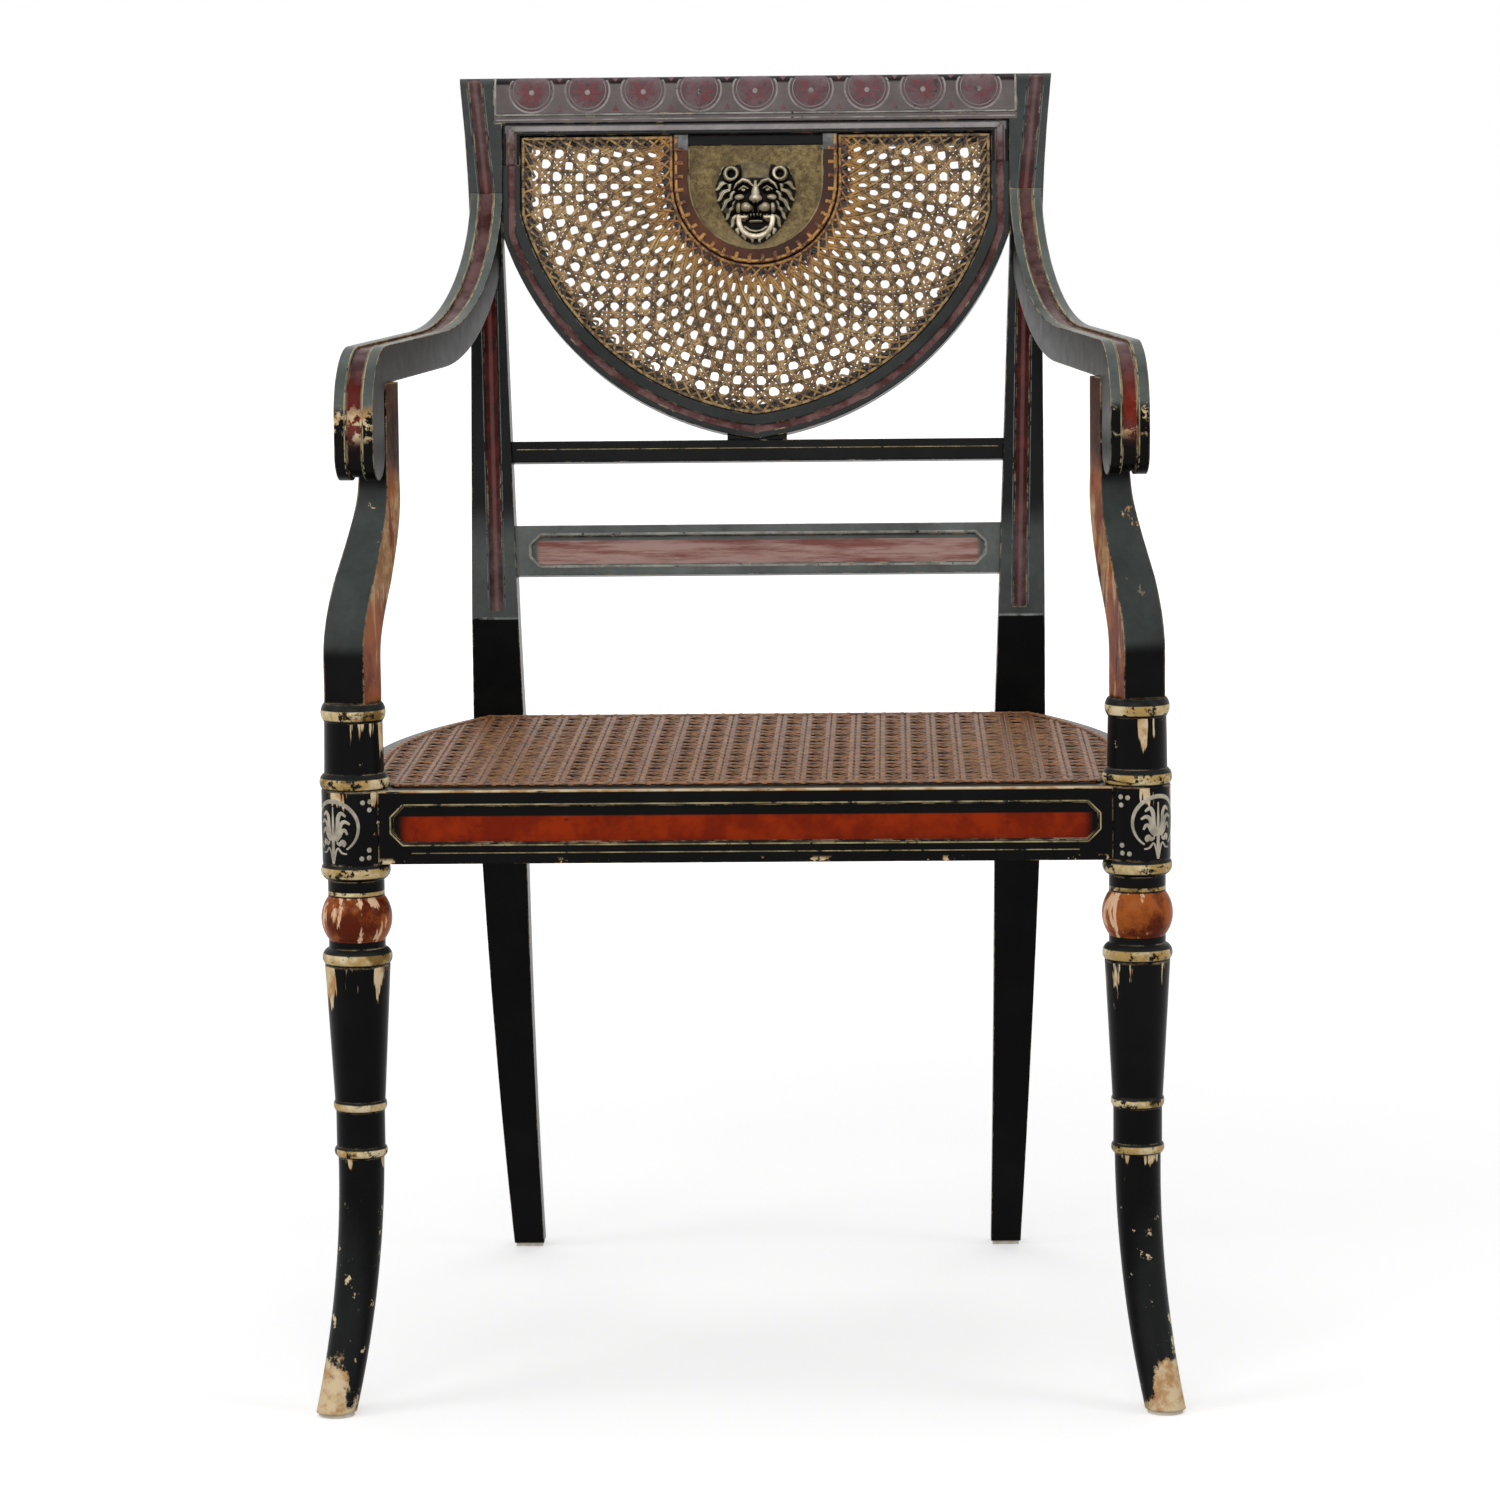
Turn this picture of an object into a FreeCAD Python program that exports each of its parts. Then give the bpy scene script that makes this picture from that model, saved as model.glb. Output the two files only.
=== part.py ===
import FreeCAD, Part
import math
import os
from FreeCAD import Vector

# Painted armchair with a caned seat and a caned back panel.
# Millimetres, +Z up, the front faces -Y, left is -X as seen from the front.

# Seat frame
SEAT_TOP = 421.0          # top of the seat rails
RAIL_HEIGHT = 49.0        # every seat rail, top to bottom
SIDE_RAIL_WIDTH = 24.0    # side rails, outside to inside
FRONT_RAIL_WIDTH = 34.0   # front rail, front to back
FRONT_RAIL_SET = 15.0     # front rail face ahead of the front leg axis
BACK_RAIL_AHEAD = 14.0    # back rail reaches this far ahead of the posts' front faces
BACK_RAIL_BEHIND = 12.0
SEAT_DEPTH = 400.0        # front leg axis to the posts' front faces
SIDE_STRAIGHT = 150.0     # straight part of a side rail behind the front leg axis
SIDE_OUTSET = 6.5         # side rail face outside the front leg axis
RAIL_TENON = 10.0         # thickness of every seat rail tenon
TENON_SHOULDER = 7.0      # tenons are lower than their rail by this, top and bottom
LEG_TENON_GAP = 8.5       # tenons end this far from the front leg axis
POST_TENON = 15.0         # length of the side rail tenons in the posts
BACK_RAIL_TENON = 11.0    # length of the back rail tenons in the posts

# Sunk panels in the front rail and the lower back rail
FRONT_PANEL_LENGTH = 470.0
FRONT_PANEL_HEIGHT = 24.5
FRONT_PANEL_DEPTH = 4.0
FRONT_PANEL_UP = 1.8      # above the middle of the rail
BACK_PANEL_LENGTH = 334.0
BACK_PANEL_HEIGHT = 21.0
BACK_PANEL_DEPTH = 2.5

# Front legs, from the top down
LEG_X = 261.5             # leg axis from the middle of the chair
SUPPORT_Z = 479.5         # top of the leg, where the arm support stands
TOP_RING = 12.5
TOP_RING_R = 21.8
STUMP_R = 19.6
COLLAR = 11.5             # height of the rings above and below the drum
COLLAR_R = 23.4
DRUM_R = 22.3
NECK = 11.5
NECK_R = 19.0
BALL = 29.0
BALL_R = 23.8
BALL_NECK = 5.5
MAIN_RING = 12.0
MAIN_RING_R = 23.5
TAPER = 92.0
TAPER_TOP_R = 22.0
TAPER_LOW_R = 17.0
ANKLE_RING = 7.5
ANKLE_RING_R = 18.0
ANKLE_BAND = 24.0
ANKLE_R = 16.4
SABRE_R = 15.5            # top of the curved foot
TOE_R = 13.2
TOE_SWEEP = 34.0          # the toe's reach away from the leg axis
TOE_TURN = 30.0           # degrees the toe turns outward from straight ahead
PAD_THICK = 3.0
PAD_INSET = 1.2           # pads are smaller than the feet by this all round

# Back posts with the rear legs
RAKE = 9.5                # degrees the back leans from upright
CREASE_Z = 495.0          # the posts bend here
POST_TOP = 898.0          # length of the posts along the lean, counted from the floor
POST_THICK = 29.0         # front to back at the crease
POST_TOP_THICK = 20.0
POST_IN_SEAT = 174.5      # inner face at the seat
POST_IN_TOP = 188.0       # inner face beside the caned panel
POST_IN_UPRIGHT = 128.0   # the inner face is upright for this length below the top
POST_OUT = 211.5
FLARE = 9.5               # the top flares outward by this
FLARE_LENGTH = 153.0      # the flare starts this far below the top
FOOT_IN = 171.5
FOOT_OUT = 194.0
FOOT_DEPTH = 23.0
REAR_SWEEP = 100.0        # rear foot behind the posts' front faces
FLUTE = 9.5               # width of the painted flutes on posts and arms
FLUTE_DEPTH = 2.0
FLUTE_FOOT = 6.0          # lower end of the flute on a post, above the crease
FLUTE_EDGE = 11.8         # upper flute's middle from the outer edge of the post

# Back rails, heights counted along the lean
CREST_HEIGHT = 35.0
CREST_HOUSING = 6.0       # the crest is let into each post by this
CREST_TENON = 11.0
CREST_TENON_THICK = 8.0
BAR_GAP = 1.2             # between the bow and the cross bar
BAR_HEIGHT = 15.6
BAR_THICK = 14.0
BAR_SET = 3.0             # bar face behind the posts' front faces
LOWER_UP = 31.7           # underside of the lower back rail above the crease
LOWER_HEIGHT = 37.0
LOWER_THICK = 18.0
LOWER_SET = 2.0
BACK_TENON = 12.0
BACK_TENON_THICK = 7.0
BACK_TENON_SHOULDER = 2.5

# Caned back panel, heights counted along the lean
PANEL_SET = 1.5           # panel face behind the posts' front faces
PANEL_THICK = 18.0
PANEL_GAP = 0.3           # between the panel and the posts
PANEL_SHARE = 0.6402      # the panel's share of the height from the crease to the crest
PANEL_HEAD = 9.2          # visible height of the panel's top bar
PANEL_RETURN = 22.0       # the top bar's returns reach this far below the bar
BOW_R = 224.0             # outer radius of each side of the bow
BOW_SHOULDER = 11.3       # the arcs would reach this far past the panel's sides
BOW_WIDTH = 17.0          # visible width of the bow
SIDE_WIDTH = 13.0         # visible width of the straight sides
GROOVE_EDGE = 4.2         # painted groove inside the bow's outer edge
GROOVE = 5.0
GROOVE_DEPTH = 1.2
LEDGE = 8.0               # ledge the cane is woven on
LEDGE_SET = 5.0           # ledge behind the panel's face
SADDLE_HALF = 22.0        # half the length of the block under the bow

# Shield and plaque
SHIELD_R = 50.0           # inside of the shield frame
SHIELD_WIDTH = 10.5
SHIELD_SIDE = 35.8        # straight length of the shield's sides
PLAQUE_THICK = 7.0
PLAQUE_GAP = 0.15

# Cane
CANE_THICK = 1.8
BINDER_THICK = 1.0
BINDER_WIDTH = 5.5
CANE_GAP = 0.3            # round the edges of a cane sheet
SEAT_CANE_INSET = 10.0    # seat cane inside the side rails' outer faces
SEAT_CANE_FRONT = 18.0    # seat cane behind the front rail's face
SEAT_CANE_BACK = 4.0      # seat cane ahead of the posts
LEG_CLEAR = 2.2           # seat cane round the front legs
SEAT_HOLE_PITCH = 25.0
SEAT_HOLE_R = 8.0
BACK_HOLE_PITCH = 15.5
BACK_HOLE_R = 4.8

# Arms
ARM_X = 257.0             # middle of the arm at the scroll
ARM_WIDTH = 26.0
ARM_TOP = 715.0
ARM_THICK = 25.0
ARM_FLAT = 230.0          # level part, behind the front leg axis
ARM_RISE_OVER = 8.3       # the sweep would rise this far past its end
ARM_TAIL = 87.0           # the arm's tail ends this far below the post's top
ARM_LAP = 11.0            # the tail is let into the post by this
SCROLL_REACH = 8.0        # scroll ahead of the front leg axis
SCROLL_R = 45.0
SCROLL_Z = 627.0          # underside of the scroll
CURL_R = 18.0
HOLLOW_R = 9.0

# Arm supports
SUPPORT_TURN = 18.0       # degrees the supports turn outward
SUPPORT_SWEEP = 51.0      # top of the support behind its foot
SUPPORT_WIDTH = 29.0
SUPPORT_TOP_WIDTH = 21.0
SUPPORT_START = 30.0      # the curve starts this far above the leg
SUPPORT_END = 145.0       # and ends this far above the leg
SUPPORT_SLIM = 78.0       # the support narrows from this far above the leg

# Lion mask and ring
MASK_DROP = 17.5          # middle of the mask below the middle of the shield's round
MANE_HALF = 26.0          # to the middles of the mane's locks, sideways
MANE_TALL = 23.5          # to the middles of the mane's locks, up and down
MANE_TAPER = 0.25         # the mane is wider above and narrower below by this share
MANE_LOCKS = 16
LOCK_R = 5.5
EAR_X = 19.0
EAR_UP = 23.0
EAR_R = 6.3
HEAD_RX = 22.5
HEAD_RZ = 23.0
HEAD_OUT = 11.2
MUZZLE_R = 9.6
MUZZLE_DROP = 9.0
PIVOT_OUT = 10.5          # ring axis ahead of the plaque
PIVOT_DROP = 9.5          # ring axis below the middle of the mask
RING_HALF = 12.5          # half the ring's width, between wire centres
RING_WIRE_R = 2.0
RING_SIDE = 2.0
PIVOT_R = 1.2
PIVOT_CLEARANCE = 0.12
PIVOT_IN = 6.3            # the pivots reach in to this distance from the middle
MASK_PIN_X = 22.0
MASK_PIN_R = 1.1
MASK_PIN_HEAD_R = 2.0

# Dowels, blocks and screws
JOINT_CLEARANCE = 0.1
SUPPORT_DOWEL_R = 6.0
SUPPORT_DOWEL = 50.0
ARM_DOWEL_R = 4.0
ARM_DOWEL = 28.0
BOW_DOWEL_R = 2.5
BOW_DOWEL = 18.0
PANEL_DOWEL_R = 3.0
PANEL_DOWEL = 18.0
BLOCK = 52.0
BLOCK_CLEAR = 6.0         # blocks above the rails' lower edges and below their tops
SCREW_R = 2.0
SCREW_HEAD_R = 4.0
SCREW_HEAD = 2.5
SCREW_BITE = 12.0
ARM_SCREW = 19.0
ARM_SCREW_DROP = 0.7      # arm screws below the arm's tail, as a share of the arm's thickness

# Places worked out from the sizes above
RAIL_BOTTOM = SEAT_TOP - RAIL_HEIGHT
TOE_AHEAD = TOE_SWEEP * math.cos(math.radians(TOE_TURN)) + TOE_R
REAR_BEHIND = SEAT_DEPTH + REAR_SWEEP + FOOT_DEPTH
LEG_Y = (TOE_AHEAD - REAR_BEHIND) / 2
POST_Y = LEG_Y + SEAT_DEPTH
SIDE_X = LEG_X + SIDE_OUTSET
ARC_Y = LEG_Y + SIDE_STRAIGHT
ARM_UNDER = ARM_TOP - ARM_THICK
SLOPE = math.radians(RAKE)
CREST_Z = POST_TOP - CREST_HEIGHT
POST_IN_BEND = POST_TOP - POST_IN_UPRIGHT
FLARE_Z = POST_TOP - FLARE_LENGTH
LOWER_Z = CREASE_Z + LOWER_UP
ARM_LAP_TOP = POST_TOP - ARM_TAIL
ARM_TAIL_Z = CREASE_Z + (ARM_LAP_TOP - CREASE_Z) * math.cos(SLOPE)
ARM_RISE = ARM_TAIL_Z + ARM_RISE_OVER - ARM_TOP
PANEL_HALF = POST_IN_TOP - PANEL_GAP
PANEL_Y = POST_Y + PANEL_SET
LEDGE_Y = PANEL_Y + LEDGE_SET
PANEL_BACK = PANEL_Y + PANEL_THICK
OPENING_TOP = CREST_Z - PANEL_HEAD
RETURN_Z = OPENING_TOP - PANEL_RETURN
OPENING_HALF = PANEL_HALF - SIDE_WIDTH
OPENING_R = BOW_R - BOW_WIDTH
BOW_OFFSET = BOW_R - PANEL_HALF - BOW_SHOULDER
BOW_LOW = CREST_Z - (CREST_Z - CREASE_Z) * PANEL_SHARE
BOW_CENTRE_Z = BOW_LOW + math.sqrt(BOW_R ** 2 - BOW_OFFSET ** 2)
BOW_TOUCH_Z = BOW_CENTRE_Z - math.sqrt(BOW_R ** 2 - (PANEL_HALF + BOW_OFFSET) ** 2)
BAR_Z = BOW_LOW - BAR_GAP - BAR_HEIGHT
SHIELD_CENTRE_Z = OPENING_TOP - SHIELD_SIDE
MASK_Z = SHIELD_CENTRE_Z - MASK_DROP
BLOCK_LOW = RAIL_BOTTOM + BLOCK_CLEAR
BLOCK_TOP = SEAT_TOP - BLOCK_CLEAR
FRONT_RAIL_Y = LEG_Y - FRONT_RAIL_SET
FRONT_RAIL_BACK = FRONT_RAIL_Y + FRONT_RAIL_WIDTH
BACK_RAIL_Y = POST_Y - BACK_RAIL_AHEAD
FAR = 1000.0


def box(x0, x1, y0, y1, z0, z1):
    return Part.makeBox(x1 - x0, y1 - y0, z1 - z0, Vector(x0, y0, z0))


def rod(start, end, radius):
    return Part.makeCylinder(radius, (end - start).Length, start, end - start)


def prism(points, along):
    return Part.Face(Part.makePolygon(points + points[:1])).extrude(along)


def line(a, b):
    return Part.LineSegment(a, b).toShape()


def arc(a, b, c):
    return Part.Arc(a, b, c).toShape()


def mirrored(shape):
    return shape.mirror(Vector(0, 0, 0), Vector(1, 0, 0))


def whole(shape):
    return max(shape.removeSplitter().Solids, key=lambda s: s.Volume)


def raked(shape):
    leaning = shape.copy()
    leaning.rotate(Vector(0, POST_Y, CREASE_Z), Vector(1, 0, 0), -RAKE)
    return leaning


def on_rake(depth, height):
    rise = height - CREASE_Z
    y = POST_Y + depth * math.cos(SLOPE) + rise * math.sin(SLOPE)
    return Vector(0, y, CREASE_Z - depth * math.sin(SLOPE) + rise * math.cos(SLOPE))


def curve_away(run, drop):
    # Middle and end of an arc that leaves its start straight and moves aside by run over drop.
    radius = (run * run + drop * drop) / (2 * run)
    half = math.asin(drop / radius) / 2
    return radius * (1 - math.cos(half)), radius * math.sin(half)


def ellipsoid(centre, rx, ry, rz):
    stretch = FreeCAD.Matrix()
    stretch.scale(rx, ry, rz)
    shape = Part.makeSphere(1.0).transformGeometry(stretch)
    shape.translate(centre)
    return shape


def canted_panel(length, height, depth, y, z):
    # Recess with canted ends, its outer face at y and its middle at height z.
    half = length / 2
    up = height / 2
    cant = height * 0.3
    points = [Vector(-half + cant, y - 1, z - up), Vector(half - cant, y - 1, z - up),
              Vector(half, y - 1, z - up + cant), Vector(half, y - 1, z + up - cant),
              Vector(half - cant, y - 1, z + up), Vector(-half + cant, y - 1, z + up),
              Vector(-half, y - 1, z + up - cant), Vector(-half, y - 1, z - up + cant)]
    return prism(points, Vector(0, depth + 1, 0))


# Front legs

def turned(steps):
    # Half outline from the top down. Each step is a height, a radius and, for a bead, its swell.
    edges = []
    radius, z = steps[0][1], SUPPORT_Z
    top = Vector(0, 0, z)
    edges.append(line(top, Vector(radius, 0, z)))
    for height, end, swell in steps:
        a = Vector(radius, 0, z)
        b = Vector(end, 0, z - height)
        if height == 0:
            if end != radius:
                edges.append(line(a, b))
        elif swell:
            edges.append(arc(a, Vector(swell, 0, z - height / 2), b))
        else:
            edges.append(line(a, b))
        radius, z = end, z - height
    edges.append(line(Vector(radius, 0, z), Vector(0, 0, z)))
    edges.append(line(Vector(0, 0, z), top))
    return Part.Face(Part.Wire(edges)).revolve(Vector(0, 0, 0), Vector(0, 0, 1), 360), z


def front_leg():
    stump = SUPPORT_Z - TOP_RING - SEAT_TOP - COLLAR
    upper, low = turned([
        (TOP_RING, STUMP_R, TOP_RING_R),
        (stump, STUMP_R + 0.6, 0),
        (COLLAR, DRUM_R - 1.2, COLLAR_R),
        (0, DRUM_R, 0),
        (RAIL_HEIGHT, DRUM_R, 0),
        (0, DRUM_R - 1.2, 0),
        (COLLAR, NECK_R, COLLAR_R),
        (NECK, NECK_R, 0),
        (BALL, NECK_R, BALL_R),
        (BALL_NECK, NECK_R, 0),
        (MAIN_RING, TAPER_TOP_R - 1.2, MAIN_RING_R),
        (0, TAPER_TOP_R, 0),
        (TAPER, TAPER_LOW_R, 0),
        (ANKLE_RING, ANKLE_R, ANKLE_RING_R),
        (ANKLE_BAND, ANKLE_R, 0),
        (ANKLE_RING, SABRE_R, ANKLE_RING_R)])
    drop = low - PAD_THICK
    radius = (TOE_SWEEP ** 2 + drop ** 2) / (2 * TOE_SWEEP)
    swing = math.asin(drop / radius) * 1.08
    turn = math.radians(TOE_TURN)
    rings = []
    for i in range(6):
        a = swing * i / 5
        out = radius * (1 - math.cos(a))
        centre = Vector(out * math.sin(turn), -out * math.cos(turn), low - radius * math.sin(a))
        along = Vector(math.sin(a) * math.sin(turn), -math.sin(a) * math.cos(turn), -math.cos(a))
        size = SABRE_R + (TOE_R - SABRE_R) * i / 5
        rings.append(Part.Wire(Part.Circle(centre, along, size).toShape()))
    sabre = Part.makeLoft(rings, True)
    sabre = sabre.cut(box(-FAR, FAR, -FAR, FAR, -FAR, PAD_THICK))
    leg = upper.fuse(sabre)
    leg.translate(Vector(LEG_X, LEG_Y, 0))
    return whole(leg)


def front_pad():
    turn = math.radians(TOE_TURN)
    centre = Vector(LEG_X + TOE_SWEEP * math.sin(turn), LEG_Y - TOE_SWEEP * math.cos(turn), 0)
    return rod(centre, centre + Vector(0, 0, PAD_THICK), TOE_R - PAD_INSET)


# Back posts

def post():
    low = RAIL_BOTTOM
    drop = low - PAD_THICK
    foot_front = Vector(0, POST_Y + REAR_SWEEP, PAD_THICK)
    foot_back = Vector(0, POST_Y + REAR_SWEEP + FOOT_DEPTH, PAD_THICK)
    seat_front = Vector(0, POST_Y, low)
    seat_back = Vector(0, POST_Y + POST_THICK, low)
    out, down = curve_away(foot_front.y - seat_front.y, drop)
    front_mid = Vector(0, seat_front.y + out, low - down)
    out, down = curve_away(foot_back.y - seat_back.y, drop)
    back_mid = Vector(0, seat_back.y + out, low - down)
    crease = Vector(0, POST_Y, CREASE_Z)
    round_z = POST_TOP - POST_TOP_THICK / 2
    back_crease = on_rake(POST_THICK, CREASE_Z)
    side = Part.Face(Part.Wire([
        line(seat_front, crease),
        line(crease, on_rake(0, round_z)),
        arc(on_rake(0, round_z), on_rake(POST_TOP_THICK / 2, POST_TOP), on_rake(POST_TOP_THICK, round_z)),
        line(on_rake(POST_TOP_THICK, round_z), back_crease),
        line(back_crease, seat_back),
        arc(seat_back, back_mid, foot_back),
        line(foot_back, foot_front),
        arc(foot_front, front_mid, seat_front)]))
    side = side.extrude(Vector(FAR, 0, 0))
    over = POST_TOP + 5
    flare_out, flare_up = curve_away(FLARE, over - FLARE_Z)
    front = Part.Face(Part.Wire([
        line(Vector(FOOT_IN, -FAR, 0), Vector(POST_IN_SEAT, -FAR, SEAT_TOP)),
        line(Vector(POST_IN_SEAT, -FAR, SEAT_TOP), Vector(POST_IN_TOP, -FAR, POST_IN_BEND)),
        line(Vector(POST_IN_TOP, -FAR, POST_IN_BEND), Vector(POST_IN_TOP, -FAR, over)),
        line(Vector(POST_IN_TOP, -FAR, over), Vector(POST_OUT + FLARE, -FAR, over)),
        arc(Vector(POST_OUT + FLARE, -FAR, over), Vector(POST_OUT + flare_out, -FAR, FLARE_Z + flare_up),
            Vector(POST_OUT, -FAR, FLARE_Z)),
        line(Vector(POST_OUT, -FAR, FLARE_Z), Vector(POST_OUT, -FAR, SEAT_TOP)),
        line(Vector(POST_OUT, -FAR, SEAT_TOP), Vector(FOOT_OUT, -FAR, 0)),
        line(Vector(FOOT_OUT, -FAR, 0), Vector(FOOT_IN, -FAR, 0))]))
    return whole(side.common(front.extrude(Vector(0, 2 * FAR, 0))))


def post_flutes():
    half = FLUTE / 2
    low_x = (POST_IN_SEAT + POST_OUT) / 2
    mid_x = (POST_IN_TOP + POST_OUT) / 2
    high_x = POST_OUT + FLARE - FLUTE_EDGE
    front = POST_Y - 5
    deep = Vector(0, 5 + FLUTE_DEPTH, 0)
    foot = CREASE_Z + FLUTE_FOOT
    lower = prism([Vector(low_x - half, front, foot), Vector(low_x + half, front, foot),
                   Vector(mid_x + half, front, ARM_LAP_TOP), Vector(mid_x - half, front, ARM_LAP_TOP)], deep)
    upper = prism([Vector(mid_x - half, front, ARM_LAP_TOP), Vector(mid_x + half, front, ARM_LAP_TOP),
                   Vector(high_x + half, front, POST_TOP + 5), Vector(high_x - half, front, POST_TOP + 5)], deep)
    over = box(high_x - half, high_x + half, front, POST_Y + POST_TOP_THICK / 2,
               POST_TOP - FLUTE_DEPTH, POST_TOP + 5)
    return raked(lower.fuse(upper).fuse(over))


def rear_pad():
    y = POST_Y + REAR_SWEEP
    return box(FOOT_IN + PAD_INSET, FOOT_OUT - PAD_INSET, y + PAD_INSET, y + FOOT_DEPTH - PAD_INSET, 0, PAD_THICK)


# Arms

def arm_face(sink):
    # Side outline of an arm. The upper edge lies lower than the arm's own by sink.
    flat_y = LEG_Y + ARM_FLAT
    high = ARM_TOP + ARM_RISE
    tail = on_rake(0, ARM_LAP_TOP)
    reach = (tail.y - flat_y) / math.sqrt(1 - ((high - tail.z) / ARM_RISE) ** 2)
    centre = Vector(0, flat_y, high)

    def sweep(extra):
        a = reach + extra
        b = ARM_RISE + extra
        ellipse = Part.Ellipse(Vector(0, flat_y + a, high), Vector(0, flat_y, high + b), centre)
        return Part.ArcOfEllipse(ellipse, 1.5 * math.pi, 2 * math.pi).toShape()

    top = ARM_TOP - sink
    front = LEG_Y - SCROLL_REACH
    roll_y = front + SCROLL_R
    roll_z = ARM_TOP - SCROLL_R
    roll = SCROLL_R - sink
    curl_y = front + CURL_R
    curl_z = SCROLL_Z + CURL_R
    curl = CURL_R - sink
    back = front + 2 * CURL_R
    diagonal = math.sqrt(0.5)
    hollow_y = back + HOLLOW_R
    hollow_z = ARM_UNDER - HOLLOW_R
    edges = [
        sweep(sink),
        line(Vector(0, flat_y, top), Vector(0, roll_y, top)),
        arc(Vector(0, roll_y, top), Vector(0, roll_y - roll * diagonal, roll_z + roll * diagonal),
            Vector(0, roll_y - roll, roll_z)),
        line(Vector(0, roll_y - roll, roll_z), Vector(0, curl_y - curl, curl_z)),
        arc(Vector(0, curl_y - curl, curl_z), Vector(0, curl_y, curl_z - curl), Vector(0, curl_y + curl, curl_z)),
        line(Vector(0, curl_y + curl, curl_z), Vector(0, back, hollow_z)),
        arc(Vector(0, back, hollow_z),
            Vector(0, hollow_y - HOLLOW_R * diagonal, hollow_z + HOLLOW_R * diagonal),
            Vector(0, hollow_y, ARM_UNDER)),
        line(Vector(0, hollow_y, ARM_UNDER), Vector(0, flat_y, ARM_UNDER)),
        sweep(ARM_THICK),
        line(Vector(0, flat_y + reach + ARM_THICK, high), Vector(0, flat_y + reach + sink, high))]
    return Part.Face(Part.Wire(Part.__sortEdges__(edges)))


def arm_strip(half_front, half_back):
    # Upright slab along an arm, seen from above. It runs straight back where the arm enters the post.
    front = LEG_Y - SCROLL_REACH
    back = on_rake(0, ARM_LAP_TOP).y
    back_x = (POST_IN_TOP + POST_OUT) / 2
    ends = []
    for share in (-0.2, 1.0):
        y = front + (back - front) * share
        x = ARM_X + (back_x - ARM_X) * share
        half = half_front + (half_back - half_front) * share
        ends.append((x - half, x + half, y))
    inner, outer, y = ends[1]
    points = [Vector(ends[0][0], ends[0][2], 0), Vector(ends[0][1], ends[0][2], 0), Vector(outer, y, 0),
              Vector(outer, FAR, 0), Vector(inner, FAR, 0), Vector(inner, y, 0)]
    return prism(points, Vector(0, 0, FAR))


def arm():
    across = Vector(FAR, 0, 0)
    body = arm_face(0).extrude(across)
    groove = body.cut(arm_face(FLUTE_DEPTH).extrude(across)).common(arm_strip(FLUTE / 2, FLUTE / 2))
    body = body.common(arm_strip(ARM_WIDTH / 2, (POST_OUT - POST_IN_TOP) / 2)).cut(groove)
    behind = raked(box(0, FAR, POST_Y + ARM_LAP, FAR, CREASE_Z, 2 * FAR))
    above = raked(box(0, FAR, -FAR, FAR, ARM_LAP_TOP, 2 * FAR))
    return whole(body.cut(behind).cut(above))


def arm_support():
    def ease(z):
        share = (z - SUPPORT_Z - SUPPORT_START) / (SUPPORT_END - SUPPORT_START)
        share = min(1.0, max(0.0, share))
        return share * share * (3 - 2 * share)

    def edge(side):
        points = []
        for i in range(12):
            z = SUPPORT_Z + (ARM_UNDER - SUPPORT_Z) * i / 11
            lean = math.atan(SUPPORT_SWEEP * (ease(z + 1) - ease(z - 1)) / 2)
            depth = SUPPORT_WIDTH + (SUPPORT_TOP_WIDTH - SUPPORT_WIDTH) * ease(z)
            points.append(Vector(0, SUPPORT_SWEEP * ease(z) + side * depth / 2 / math.cos(lean), z))
        curve = Part.BSplineCurve()
        curve.interpolate(points)
        return curve.toShape(), points[0], points[-1]

    front, front_low, front_high = edge(-1)
    back, back_low, back_high = edge(1)
    face = Part.Face(Part.Wire([front, line(front_high, back_high), back, line(back_low, front_low)]))
    face.translate(Vector(-SUPPORT_WIDTH, 0, 0))
    body = face.extrude(Vector(2 * SUPPORT_WIDTH, 0, 0))
    wide = SUPPORT_WIDTH / 2
    slim = SUPPORT_TOP_WIDTH / 2
    start = SUPPORT_Z + SUPPORT_SLIM
    end = SUPPORT_Z + SUPPORT_END
    taper = prism([Vector(-wide, -FAR, SUPPORT_Z), Vector(wide, -FAR, SUPPORT_Z), Vector(wide, -FAR, start),
                   Vector(slim, -FAR, end), Vector(slim, -FAR, ARM_UNDER), Vector(-slim, -FAR, ARM_UNDER),
                   Vector(-slim, -FAR, end), Vector(-wide, -FAR, start)], Vector(0, 2 * FAR, 0))
    body = body.common(taper)
    body.rotate(Vector(0, 0, 0), Vector(0, 0, 1), SUPPORT_TURN)
    body.translate(Vector(LEG_X, LEG_Y, 0))
    return whole(body)


# Seat frame

def seat_plan(inset, z0, z1):
    # Slab with the seat's outline, inside its outer edge by inset.
    run = SIDE_X - (POST_OUT - 2.0)
    depth = POST_Y - ARC_Y
    radius = (run * run + depth * depth) / (2 * run)
    half = SIDE_X - inset
    straight = box(-half, half, LEG_Y - 100, ARC_Y, z0, z1)
    tall = z1 - z0
    right = Part.makeCylinder(radius - inset, tall, Vector(SIDE_X - radius, ARC_Y, z0))
    left = Part.makeCylinder(radius - inset, tall, Vector(radius - SIDE_X, ARC_Y, z0))
    curved = right.common(left).common(box(-FAR, FAR, ARC_Y, POST_Y + 30, z0, z1))
    return straight.fuse(curved).removeSplitter()


def side_inner_x(y):
    run = SIDE_X - (POST_OUT - 2.0)
    depth = POST_Y - ARC_Y
    radius = (run * run + depth * depth) / (2 * run)
    return SIDE_X - radius + math.sqrt((radius - SIDE_RAIL_WIDTH) ** 2 - (y - ARC_Y) ** 2)


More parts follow.
